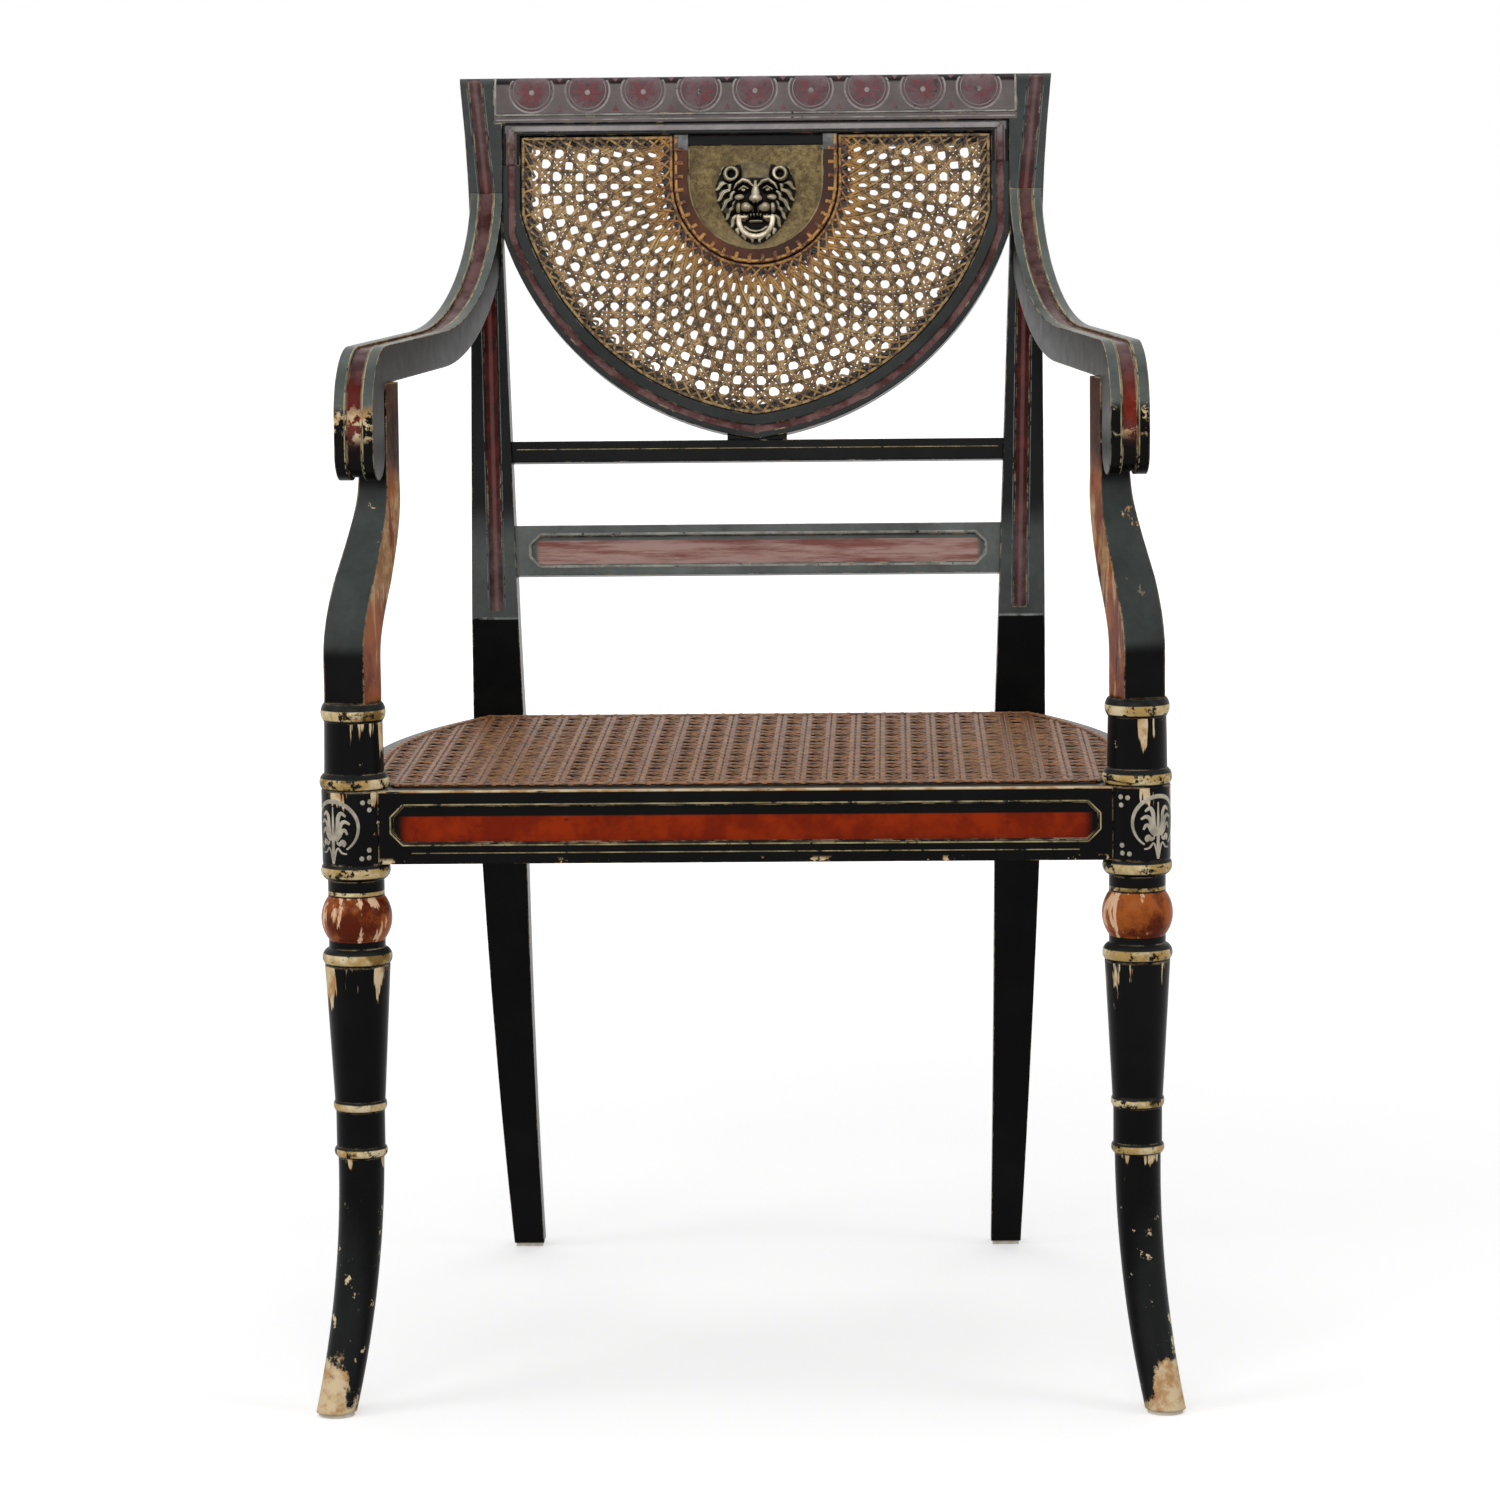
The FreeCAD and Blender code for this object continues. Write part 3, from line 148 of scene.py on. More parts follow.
class Web:
    """A node tree. An input is a value, a number, a vector or a colour's code."""

    def __init__(self, tree):
        self.tree = tree

    def find(self, kind):
        return next(n for n in self.tree.nodes if n.type == kind)

    def put(self, socket, value):
        if isinstance(value, Value):
            self.tree.links.new(value.socket, socket)
        else:
            socket.default_value = tone(value) if isinstance(value, str) else value

    def new(self, kind, inputs, output=0, **settings):
        """One output of a new node with these inputs and settings."""
        node = self.tree.nodes.new("ShaderNode" + kind)
        for name, value in settings.items():
            setattr(node, name, value)
        for key, value in inputs.items():
            self.put(node.inputs[key], value)
        return Value(self, node.outputs[output])

    def calc(self, operation, a, b=0.0, clamp=False):
        return self.new("Math", {0: a, 1: b}, operation=operation, use_clamp=clamp)

    def most(self, first, *others):
        for other in others:
            first = self.calc("MAXIMUM", first, other)
        return first

    def less(self, value):
        return self.calc("SUBTRACT", 1.0, value, clamp=True)

    def step(self, value, low, high):
        """Rises from 0 to 1 between low and high."""
        return self.new("MapRange", {0: value, 1: low, 2: high}, interpolation_type="SMOOTHSTEP")

    def fall(self, value, low, high):
        return self.less(self.step(value, low, high))

    def between(self, value, low, high, soft=0.0004):
        return self.step(value, low - soft, low + soft) * self.fall(value, high - soft, high + soft)

    def shade(self, value, low, high):
        """Spreads the middle of a noise over a range."""
        return self.new("MapRange", {0: value, 1: 0.25, 2: 0.75, 3: low, 4: high})

    def mix(self, share, a, b):
        return self.new("Mix", {0: share, 6: a, 7: b}, 2, data_type="RGBA")


class Finish(Web):
    """A material, laid on by the chair's own coordinates, in metres."""

    def __init__(self, name):
        self.material = bpy.data.materials.new(name)
        self.material.use_nodes = True
        super().__init__(self.material.node_tree)
        self.shader = self.find("BSDF_PRINCIPLED")
        self.point = self.new("TexCoord", {}, "Object")
        self.x, self.y, self.z = [self.new("SeparateXYZ", {0: self.point}, k) for k in range(3)]
        self.side = self.calc("ABSOLUTE", self.x)
        self.normal = self.new("NewGeometry", {}, "Normal")

    def set(self, name, value):
        self.put(self.shader.inputs[name], value)

    def dot(self, vector, direction):
        return self.new("VectorMath", {0: vector, 1: direction}, "Value", operation="DOT_PRODUCT")

    def along(self, direction):
        """Distance from the posts' crease, in a direction."""
        crease = place(0, POST_Y, CREASE_Z)
        offset = self.new("VectorMath", {0: self.point, 1: crease}, operation="SUBTRACT")
        return self.dot(offset, direction)

    def depth(self):
        """Distance behind the posts' front faces."""
        return self.along((0.0, COS, -SIN))

    def height(self):
        """Height along the lean, above the crease."""
        return self.along((0.0, SIN, COS))

    def facing(self, direction, low, high):
        return self.step(self.dot(self.normal, direction), low, high)

    def noise(self, scale, detail=4.0, rough=0.6, warp=0.0):
        """Cloudy noise. A scale of three numbers stretches it."""
        point = self.point
        if isinstance(scale, tuple):
            point = self.new("VectorMath", {0: point, 1: scale}, operation="MULTIPLY")
            scale = 1.0
        return self.new("TexNoise", {"Vector": point, "Scale": scale, "Detail": detail, "Roughness": rough,
                                     "Distortion": warp})

    def patches(self, scale, low, high, detail=4.0, rough=0.6):
        return self.step(self.noise(scale, detail, rough), low, high)

    def two_tone(self, first, second, scale=40.0, low=0.4, high=0.62):
        return self.mix(self.patches(scale, low, high, 5.0, 0.65), first, second)

    def tint(self):
        return self.new("Attribute", {}, "Fac", attribute_name="tint")

    def openness(self, reach, samples):
        """Near 0 in hollows and 1 where nothing is near."""
        return self.new("AmbientOcclusion", {"Distance": reach}, "AO", samples=samples)

    def edges(self, radius):
        """Near 1 along sharp edges, 0 on flat faces, and the softened normal."""
        soft = self.new("Bevel", {"Radius": radius}, samples=6)
        return self.fall(self.dot(soft, self.normal), 0.78, 0.98), soft

    def bump(self, height, distance, strength=1.0, **more):
        inputs = {"Height": height, "Distance": distance, "Strength": strength, **more}
        self.set("Normal", self.new("Bump", inputs))

    def rough(self, low, high, scale=70.0):
        self.set("Roughness", self.shade(self.noise(scale, 3.0), low, high))

    def done(self, colour, gloss, bump, deep):
        self.set("Base Color", colour)
        self.set("Specular IOR Level", gloss)
        self.bump(bump, deep)
        return self.material


WOOD = "b58a5c"
GESSO = "d6c09b"


def lacquer(name, zones=(), chips=0.0, edge=0.5, radius=0.0016, black="030303", sheen="0a0b0a",
            sheen_tint="5c625f", sheen_share=0.5, bare=None):
    """Old black paint: brushed, worn to the wood along edges, with other colours laid on in zones. Faces that
    look up are lightened with a painted sheen.
    """
    f = Finish(name)
    paint = f.mix(f.patches(14.0, 0.42, 0.7, 5.0), black, sheen)
    # Painted sheen: faces that look up are lightened towards a grey-green, standing in for light reflected on
    # the glossy paint, by a share set for each part.
    painted_sheen = f.facing(UP, 0.03, 0.17) * f.shade(f.noise(16.0, 7.0, 0.72), 0.35, 1.1)
    paint = f.mix(painted_sheen * (sheen_share(f) if callable(sheen_share) else sheen_share), paint, sheen_tint)
    for zone in zones:
        mask, colour = zone(f)
        paint = f.mix(mask, paint, colour)
    rim, soft = f.edges(radius)
    grain = f.noise(95.0, 6.0, 0.68)
    patch = f.noise(23.0)
    worn = rim * f.step(grain, 0.62 - 0.22 * edge, 0.72 - 0.2 * edge) * f.step(patch, 0.5 - 0.2 * edge, 0.62)
    if chips:
        flake = f.noise(58.0, 7.0, 0.7, warp=0.4)
        flake = f.step(flake, 0.735 - 0.1 * chips, 0.755 - 0.1 * chips)
        worn = f.most(worn, flake * f.step(patch, 0.44, 0.56))
    if bare:
        worn = f.most(worn, bare(f))
    under = f.mix(f.patches(75.0, 0.36, 0.56), WOOD, GESSO)
    f.set("Base Color", f.mix(worn, paint, under))
    strokes = f.noise(85.0, 3.0, 0.55)
    f.set("Roughness", f.shade(strokes, 0.27, 0.34) + worn * 0.35)
    f.set("Specular IOR Level", 0.06)
    f.bump(strokes * 0.1 - worn, 0.0001, 0.35, Normal=soft)
    return f.material


def faded(name, first, second, ground="141312", loss=0.5):
    """Thin ornament paint, rubbed through to its ground in places."""
    f = Finish(name)
    gone = f.step(f.noise(130.0, 6.0, 0.7), 0.72 - 0.3 * loss, 0.8 - 0.3 * loss)
    f.rough(0.35, 0.57)
    return f.done(f.mix(gone, f.two_tone(first, second, 60.0), ground), 0.12, f.noise(240.0, 3.0), 0.00012)


LEG_RINGS = ((468.6, 475.0), (422.8, 429.2), (350.6, 353.0), (362.8, 369.2), (304.4, 310.8), (204.2, 208.8),
             (172.8, 177.4))
DRIPS = ((0.467, 0.036), (0.421, 0.022), (0.3025, 0.036), (0.172, 0.012))


def leg_gilt(f):
    """Old gold paint on the rings: pale where rubbed, brown and black where it is lost."""
    gold = f.two_tone("dccba4", "b0925a", 55.0, 0.36, 0.6)
    gold = f.mix(f.patches(38.0, 0.55, 0.66), gold, "7d6334")
    gold = f.mix(f.patches(105.0, 0.53, 0.59, 6.0, 0.72), gold, "1c120a")
    rings = [f.between(f.z, low * MM, high * MM) for low, high in LEG_RINGS]
    return f.most(*rings) * f.patches((45.0, 45.0, 190.0), 0.33, 0.4), gold


def leg_ball(f):
    red = f.two_tone("561d0a", "a05524", 40.0, 0.38, 0.6)
    red = f.mix(f.patches((95.0, 95.0, 16.0), 0.56, 0.61), red, "dcb592")
    return f.between(f.z, 0.3195, 0.3495), red


def leg_bare(f):
    """Runs of lost paint under the rings, and the bare toe."""
    drops = [f.fall(f.z, top - 0.0004, top) * f.step(f.z, top - run, top - 0.002) for top, run in DRIPS]
    drop = f.most(*drops) * 0.13
    drop = f.step(f.noise((85.0, 85.0, 9.0), 4.0, 0.58) + drop, 0.655, 0.68) * f.step(drop, 0.004, 0.02)
    outward = f.calc("SIGN", f.x) * f.dot(f.normal, (1.0, 0.0, 0.0))
    toe = f.z + f.noise(42.0, 6.0, 0.72) * -0.07 + f.fall(outward, -0.75, 0.1) * 0.026
    small = f.fall(f.z, 0.1, 0.17) * f.patches(75.0, 0.62, 0.65, 6.0, 0.7)
    return f.most(drop, f.fall(toe, -0.004, 0.002), small)


def flute_on_post(f):
    rise = f.height()
    flare = (rise - (FLARE_Z - CREASE_Z) * MM) * FLARE
    off = f.side - (rise * POST_SPLAY + POST_MIDDLE * MM + f.most(flare, 0.0))
    inside = f.between(off, -0.0052, 0.0052, 0.0003) * f.between(f.depth(), 0.0007, 0.004, 0.0002)
    # Painted sheen: the flute turns pale purple-grey near its foot and near its top, for light caught there.
    pale = f.most(f.fall(rise, 0.045, 0.11), f.step(rise, 0.3, 0.36))
    red = f.mix(pale, f.two_tone("360c08", "561b14", 60.0), f.two_tone("412829", "5e4647", 50.0))
    # Painted highlight: a paler line down the middle of the flute, for light in its hollow.
    red = f.mix(f.between(off, -0.0014, 0.0014, 0.0008) * 0.22, red, "9a7d7c")
    return inside * f.step(rise, 0.004, 0.006), red


# Share of painted sheen on the posts by height: more near the seat and at the top, little in the middle,
# where the arms stand in front of the posts.
def post_sheen_share(f):
    rise = f.height()
    return f.step(rise, 0.2, 0.33) * 0.5 + f.fall(rise, 0.055, 0.088) * 0.7 + 0.08


def post_crease(f):
    """Paint rubbed pale along the bend of the post."""
    bend = f.between(f.z, 0.4942, 0.4957, 0.0005) * f.facing(AHEAD, 0.3, 0.6)
    return bend * f.patches(70.0, 0.36, 0.5), f.two_tone("8d918d", "6a6f6c", 60.0)


# Painted shade: the crest's rolled top is painted darker, for how light falls on it.
def crest_top_shade(f):
    return f.step(f.height(), 0.3958, 0.3978), f.two_tone("090808", "2a1214", 60.0)


def returns(f):
    """The short ends of the panel's head, which run down to the bow."""
    return f.between(f.side, 0.1775, 0.1848, 0.0005)


def head_shadow_lines(f):
    """Painted shadow: near black along the head's top and bottom edges and the tops of its returns, for the
    shade in the gaps beside them.
    """
    rise = f.height()
    middle = f.between(rise, 0.3606, 0.3664, 0.0005) * f.fall(f.side, 0.185, 0.1865)
    return f.less(f.most(middle, returns(f) * f.fall(rise, 0.3655, 0.3665))), "0a0a0a"


def return_red(f):
    """The head's returns, which take the bow's colour towards the joint."""
    inside = returns(f) * f.facing(BACK_FRONT, 0.2, 0.5)
    return inside * f.fall(f.height(), 0.348, 0.372), f.two_tone("452c2c", "6a5253", 50.0)


def bow_red(f):
    inside = f.between(f.depth(), 0.0022, 0.0034, 0.0002)
    return inside * f.facing(BACK_FRONT, 0.7, 0.9), f.two_tone("4d2a29", "785856", 50.0)


def lower_panel(f):
    into = f.depth() - LOWER_SET * MM
    # The red stops short of the recess's top, leaving a black band there as painted shadow under its top
    # edge.
    inside = f.between(into, 0.0018, 0.0032, 0.0002) * f.between(f.height(), 0.0402, 0.0575, 0.0004)
    red = f.mix(f.patches((14.0, 160.0, 160.0), 0.4, 0.62, 5.0, 0.65), "7f4f48", "a98a82")
    return inside * f.fall(f.side, 0.161, 0.165) * f.facing(BACK_FRONT, 0.7, 0.9), red


def front_panel(f):
    into = f.y - FRONT_RAIL_Y * MM
    # The red stops short of the recess's top. The black left above it is partly black paint and partly
    # painted shadow under the recess's top edge.
    inside = f.step(into, 0.003, 0.0036) * f.fall(into, 0.005, 0.006) * f.between(f.z, 0.3865, 0.4035, 0.0005)
    red = f.mix(f.patches(90.0, 0.6, 0.72, 5.0, 0.7), f.two_tone("741d05", "922c08", 28.0), "5a1708")
    return inside * f.fall(f.side, 0.2245, 0.2325), red


def rail_bare(f):
    """Pale wood along the worn top edge of the front rail, and chips on its lower edge."""
    top = f.step(f.z, 0.4196, 0.4206) * f.patches((30.0, 160.0, 160.0), 0.36, 0.42, 5.0, 0.65)
    low = f.fall(f.z, 0.3735, 0.3765) * f.patches(48.0, 0.6, 0.63, 5.0, 0.7)
    return f.most(top * f.fall(f.y, -0.2525, -0.2475), low)


def flute_on_arm(f):
    off = f.side - ((f.y - ARM_FRONT_Y * MM) * ARM_SPLAY + ARM_X * MM)
    top = f.facing(UP, -0.5, -0.3) * f.facing(AHEAD, -0.5, -0.3)
    red = f.mix(f.fall(f.z, 0.645, 0.665), f.two_tone("3c201e", "5f4341", 45.0), "0c0605")
    red = f.mix(f.between(f.z, 0.66, 0.69, 0.012), red, f.two_tone("5e130c", "7a2a1c", 60.0))
    return f.between(off, -0.0048, 0.0048, 0.0003) * top, red


def scroll_bare(f):
    """Wear half-way down the front of the scroll, where hands rest."""
    zone = f.between(f.z, 0.655, 0.675, 0.005) * f.facing(AHEAD, 0.5, 0.8)
    return zone * f.patches(95.0, 0.53, 0.57, 6.0, 0.72)


def support_red(side):
    """Red on the inner face of an arm support, rubbed half-way up, with painted shade near the arm, where the
    scroll stands over it.
    """
    turn = radians(18.0)
    inward = (-side * cos(turn), -sin(turn), 0.0)

    def zone(f):
        red = f.two_tone("6b2a10", "97501f", 30.0)
        rubbed = f.noise((75.0, 75.0, 9.0), 5.0, 0.62) + f.between(f.z, 0.545, 0.615, 0.02) * 0.14
        red = f.mix(f.step(rubbed, 0.56, 0.64), red, f.two_tone("8f6540", "b8946a", 60.0))
        # Painted shade: the face turns dark brown above the scroll's curl.
        red = f.mix(f.step(f.z, 0.615, 0.645) * 0.85, red, f.two_tone("140b06", "3a2413", 60.0))
        red = f.mix(f.patches((60.0, 60.0, 14.0), 0.58, 0.66), red, "1a0d08")
        return f.facing(inward, 0.6, 0.8), red

    return zone


def support_bare(f):
    return f.between(f.z, 0.56, 0.66, 0.03) * f.patches((70.0, 70.0, 22.0), 0.63, 0.67, 5.0, 0.7)


# The tops of the shield frame's sides: partly grey paint and partly a painted highlight where light catches
# them.
def shield_top_grey_and_highlight(f):
    return f.step(f.height(), 0.3465, 0.3475), f.two_tone("55585a", "7b7d7e", 60.0)


def plaque_paint():
    """Olive gilding on the face of the plaque, bare wood behind."""
    f = Finish("plaque_paint")
    gilt = f.mix(f.patches(260.0, 0.4, 0.62, 6.0, 0.75), "8f7c52", "5a4a2e")
    gilt = f.mix(f.patches(48.0, 0.42, 0.66, 5.0, 0.7) * 0.6, gilt, "4a3c24")
    gilt = f.mix(f.fall(f.height(), 0.276, 0.3) * 0.35, gilt, "b3a075")
    gilt = f.mix(f.facing(BACK_FRONT, 0.3, 0.6), f.two_tone("3b2a1a", "54402a"), gilt)
    f.rough(0.5, 0.75)
    return f.done(gilt, 0.2, f.noise(300.0, 5.0), 0.0002)


def brass(name, dark, cast=False):
    """Pale old brass, black in the hollows. The cast mask is duller on its mane and forehead."""
    f = Finish(name)
    clean = f.step(f.openness(0.006, 8), 0.3, 0.75)
    metal = f.two_tone("ddd2bb", "a3977c", 90.0)
    share = 0.6
    if cast:
        rise = f.height() - (MASK_Z - CREASE_Z) * MM
        forehead = f.step(rise, 0.019, 0.022) * f.fall(f.side, 0.009, 0.0115)
        clean = clean * f.most(f.step(f.tint(), -0.15, 1.15), forehead * 0.9)
        metal = f.mix(f.step(f.side, 0.0145, 0.0175) * 0.6, metal, f.two_tone("a0987a", "77704f", 110.0))
        metal = f.mix(forehead * 0.9, metal, f.two_tone("80714c", "5d5034", 150.0))
        share = f.less(forehead * 0.7) * share
    clean = clean * f.shade(f.noise(130.0), 1.0, 1.0 - dark * 0.6)
    f.set("Metallic", clean * share)
    f.set("Roughness", clean * -0.26 + 0.6)
    metal = f.mix(clean, f.two_tone("060403", "171009", 120.0), metal)
    return f.done(metal, 0.1, f.noise(420.0, 3.0), 0.00015)


def shield_stain(f):
    """Amber varnish on the cane round the shield."""
    below = f.calc("MINIMUM", f.height() - (SHIELD_Z - CREASE_Z) * MM, 0.0)
    away = f.calc("SQRT", f.x * f.x + below * below) + f.noise(35.0) * 0.016
    return f.fall(away, 0.074, 0.1) * 0.7


def cane(name, light, deep, shadow, dark, reach, stain=None):
    """Split cane: each strand has its own tone, with fine length marks. Strands tinted two are dark, and
    painted shade darkens the hollows where strands cross.
    """
    f = Finish(name)
    share = f.tint()
    base = f.mix(share, light, deep)
    base = f.mix(f.patches(170.0, 0.44, 0.6, 4.0, 0.65), base, shadow)
    base = f.mix(f.patches(900.0, 0.5, 0.7, 2.0) * 0.35, base, shadow)
    if stain:
        base = f.mix(stain(f), base, f.two_tone("b98836", "7d501c", 150.0))
    base = f.mix(f.step(share, 1.1, 1.9), base, dark)
    # Painted shade: dark in the hollows where strands cross and where they run under the frame.
    base = f.mix(f.step(f.openness(reach, 5), 0.42, 0.92), dark, base)
    f.rough(0.36, 0.55, 200.0)
    return f.done(base, 0.35, f.noise(700.0, 2.0), 0.00012)


def plain(name, first, second, rough, scale, metallic=0.0):
    f = Finish(name)
    f.rough(rough - 0.08, rough + 0.1)
    f.set("Metallic", metallic)
    return f.done(f.two_tone(first, second, scale), 0.5, f.noise(scale * 4.0), 0.0002)


def dress(material, *names):
    for name in names:
        data = nodes[name].data
        data.materials.clear()
        data.materials.append(material)


def both(name):
    return name + "_left", name + "_right"


dress(lacquer("leg_paint", (leg_gilt, leg_ball), chips=0.55, edge=0.9, radius=0.002, sheen_share=0.12,
              bare=leg_bare), *both("front_leg"))
dress(lacquer("post_paint", (flute_on_post, post_crease), edge=0.75, sheen_share=post_sheen_share), *both("back_post"))
# The crest is given a greyer black, partly faded paint and partly painted sheen.
dress(lacquer("crest_paint", (crest_top_shade,), edge=0.6, black="161415", sheen="242122", sheen_tint="7e7473", sheen_share=0.9),
      "crest_rail")
# The panel's head is given a grey black, partly faded paint and partly painted sheen.
dress(lacquer("head_paint", (head_shadow_lines, return_red), edge=0.6, black="191a1a", sheen="34363a",
              sheen_tint="8a8584", sheen_share=0.95), "panel_head")
dress(lacquer("bow_paint", (bow_red,), sheen_share=0.35), "panel_bow")
dress(lacquer("rail_paint", sheen_share=0.03), "cross_bar", "bow_saddle", "seat_back_rail")
dress(lacquer("lower_rail_paint", (lower_panel,), edge=0.7, sheen_tint="6c726f", sheen_share=0.95), "lower_back_rail")
dress(lacquer("front_rail_paint", (front_panel,), chips=0.25, edge=0.8, sheen_share=0.3, bare=rail_bare),
      "seat_front_rail")
dress(lacquer("side_rail_paint", edge=0.9, sheen_share=0.9), *both("seat_side_rail"))
dress(lacquer("arm_paint", (flute_on_arm,), edge=0.95, sheen_tint="6f7773", sheen_share=0.7, bare=scroll_bare),
      *both("arm"))
for hand, way in (("left", -1), ("right", 1)):
    dress(lacquer("support_paint_" + hand, (support_red(way),), chips=0.4, edge=1.0, radius=0.0025,
                  bare=support_bare), "arm_support_" + hand)
dress(lacquer("shield_paint", (shield_top_grey_and_highlight,), edge=0.6, black="3a1a0e", sheen="6b3a20", sheen_share=0.12),
      "shield_frame")
dress(plaque_paint(), "plaque_board")
dress(brass("ring_brass", 0.3), "lion_ring")
dress(faded("pin_brass", "3d3422", "241d12", loss=0.4), "mask_pins")
dress(plain("bare_wood", "a57f55", "c19a6d", 0.6, 30.0), *both("block_front"), *both("block_rear"),
      "bow_dowels", "panel_dowels", "support_dowels", "arm_dowels")
dress(plain("screw_steel", "77746e", "4d4a45", 0.4, 150.0, 0.9), "block_screws", "arm_screws")
dress(plain("pad_felt", "e4ddcf", "cfc4b0", 0.85, 120.0), "foot_pads")


# Shapes laid on a surface. A surface is a function of two places along it and the height above it.


class Shape:
    def __init__(self):
        self.verts = []
        self.faces = []
        self.marks = []
        self.tints = []

    def strip(self, surface, path, width, thick, mark=0, tint=0.0, closed=False, crown=0.62):
        """A flat strip along path. Width may be a function of the share along it, tint of the place."""
        count = len(path)
        start = len(self.verts)
        for i, (u, v, h) in enumerate(path):
            before = path[i - 1] if i or closed else path[i]
            after = path[(i + 1) % count] if i < count - 1 or closed else path[i]
            du, dv = before[1] - after[1], after[0] - before[0]
            size = hypot(du, dv) or 1.0
            half = (width(i / (count - 1)) if callable(width) else width) / 2
            for out, up in ((-half, h), (-half * crown, h + thick), (half * crown, h + thick), (half, h)):
                self.verts.append(surface(u + du / size * out, v + dv / size * out, up))
            self.tints += [tint(u, v) if callable(tint) else tint] * 4
        for i in range(count if closed else count - 1):
            a, b = start + i * 4, start + (i + 1) % count * 4
            self.faces += [(a + k, a + (k + 1) % 4, b + (k + 1) % 4, b + k) for k in range(4)]
        if not closed:
            last = start + count * 4
            self.faces += [tuple(range(start + 3, start - 1, -1)), tuple(range(last - 4, last))]
        self.marks += [mark] * (len(self.faces) - len(self.marks))

    def disc(self, surface, u, v, radius, thick, mark=0, rings=2, sides=14, base=0.0, keep=None):
        """A thin closed disc, or its part where keep(u, v) holds."""
        def spot(r, k):
            angle = 2 * pi * k / sides
            reach = radius * r / rings
            return u + reach * cos(angle), v + reach * sin(angle)

        start = len(self.verts)
        spots = [spot(r, k) for r in range(rings + 1) for k in range(sides)]
        self.verts += [surface(*p, h) for h in (base, base + thick) for p in spots]
        self.tints += [0.0] * len(spots) * 2
        kept = [(r, k) for r in range(rings) for k in range(sides)
                if not keep or keep(*spot(r + 0.5, k + 0.5))]
        for r, k in kept:
            n = (k + 1) % sides
            a, b = start + r * sides, start + (r + 1) * sides
            low = (a + k, b + k, b + n, a + n)
            top = tuple(c + len(spots) for c in low)
            self.faces += [top, low[::-1]]
            beside = [(r, (k - 1) % sides), (r + 1, k), (r, n), (r - 1, k)][:4 if r else 3]
            for e, other in enumerate(beside):
                if other not in kept:
                    n = (e + 1) % 4
                    self.faces.append((low[e], low[n], top[n], top[e]))
        self.marks += [mark] * (len(self.faces) - len(self.marks))


def build(name, draw, materials, node=None, smooth=False):
    """A piece that rides on the chair, in place of a node where one is named."""
    shape = Shape()
    draw(shape)
    mesh = bpy.data.meshes.new(name)
    mesh.from_pydata(shape.verts, [], shape.faces)
    for material in materials:
        mesh.materials.append(material)
    mesh.polygons.foreach_set("material_index", shape.marks)
    tint = mesh.attributes.new("tint", "FLOAT", "POINT")
    tint.data.foreach_set("value", shape.tints)
    work = bmesh.new()
    work.from_mesh(mesh)
    bmesh.ops.remove_doubles(work, verts=work.verts, dist=1e-7)
    bmesh.ops.recalc_face_normals(work, faces=work.faces)
    work.to_mesh(mesh)
    work.free()
    mesh.polygons.foreach_set("use_smooth", [smooth] * len(mesh.polygons))
    piece = add(name, mesh)
    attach(piece, "chair")
    if node:
        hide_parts(node)
    return piece


def leaning(depth):
    """A face of the back, by its depth behind the posts' faces."""
    return lambda u, v, h: lean(u, depth - h, v)


back_surface = leaning(LEDGE_DEPTH)
shield_surface = leaning(SHIELD_FACE)
head_surface = leaning(PANEL_SET)
bar_surface = leaning(BAR_SET)
lower_surface = leaning(LOWER_SET)


def split(a, b, count):
    """Evenly spaced points from a towards b, without b."""
    return [(a[0] + (b[0] - a[0]) * i / count, a[1] + (b[1] - a[1]) * i / count) for i in range(count)]


def run(a, b, step):
    return split(a, b, max(2, round(dist(a, b) / step)))


def arc(centre, radius, first, last, count):
    turns = [first + (last - first) * i / count for i in range(count + 1)]
    return [(centre[0] + radius * cos(a), centre[1] + radius * sin(a)) for a in turns]


def bend(centre, radius, first, last, step):
    return arc(centre, radius, first, last, max(3, round(radius * abs(last - first) / step)))


def mirrored(right):
    """A path from the right, carried on to the left from its last point."""
    return right + [(-u, v) for u, v in reversed(right[:-1])]


def raised(path, h):
    return [(u, v, h) for u, v in path]


def line(a, b, steps, h=0.0):
    return raised(split(a, b, steps - 1) + [b], h)


def even(path, count):
    """Points spaced evenly along a path."""
    ends = [0.0, *accumulate(map(dist, path, path[1:]))]
    points = []
    for i in range(count):
        goal = ends[-1] * i / (count - 1)
        k = min(bisect_left(ends, goal, 1), len(path) - 1)
        share = (goal - ends[k - 1]) / (ends[k] - ends[k - 1])
        points.append(tuple(a + (b - a) * share for a, b in zip(path[k - 1], path[k])))
    return points


def stretches(points, inside):
    """The stretches of a line of points that lie inside."""
    groups = [list(group) for kept, group in groupby(points, lambda p: inside(p[0], p[1])) if kept]
    return [group for group in groups if len(group) > 2]


def wave(turn):
    """Over and under, once in two."""
    return cos(pi * turn)


# Back cane

COLUMN = 2 * pi / 54
ROW = 8.6
FIRST_R = 62.0
FAN_PAST_LEVEL = 0.62
FAN_FIRST = -pi - FAN_PAST_LEVEL
FAN_WHOLE = pi + 2 * FAN_PAST_LEVEL
EDGE_STEP = 3.0


def in_back(u, v, margin):
    """Inside the panel's opening and outside the shield, by at least margin."""
    if abs(u) > OPENING_HALF - margin or v > OPENING_TOP - margin:
        return False
    if hypot(abs(u) + BOW_OFFSET, v - BOW_CENTRE_Z) > OPENING_R - margin:
        return False
    return hypot(u, min(0.0, v - SHIELD_Z)) > SHIELD_OUT + margin


def polar(angle, radius, h):
    return radius * cos(angle), SHIELD_Z + radius * sin(angle), h


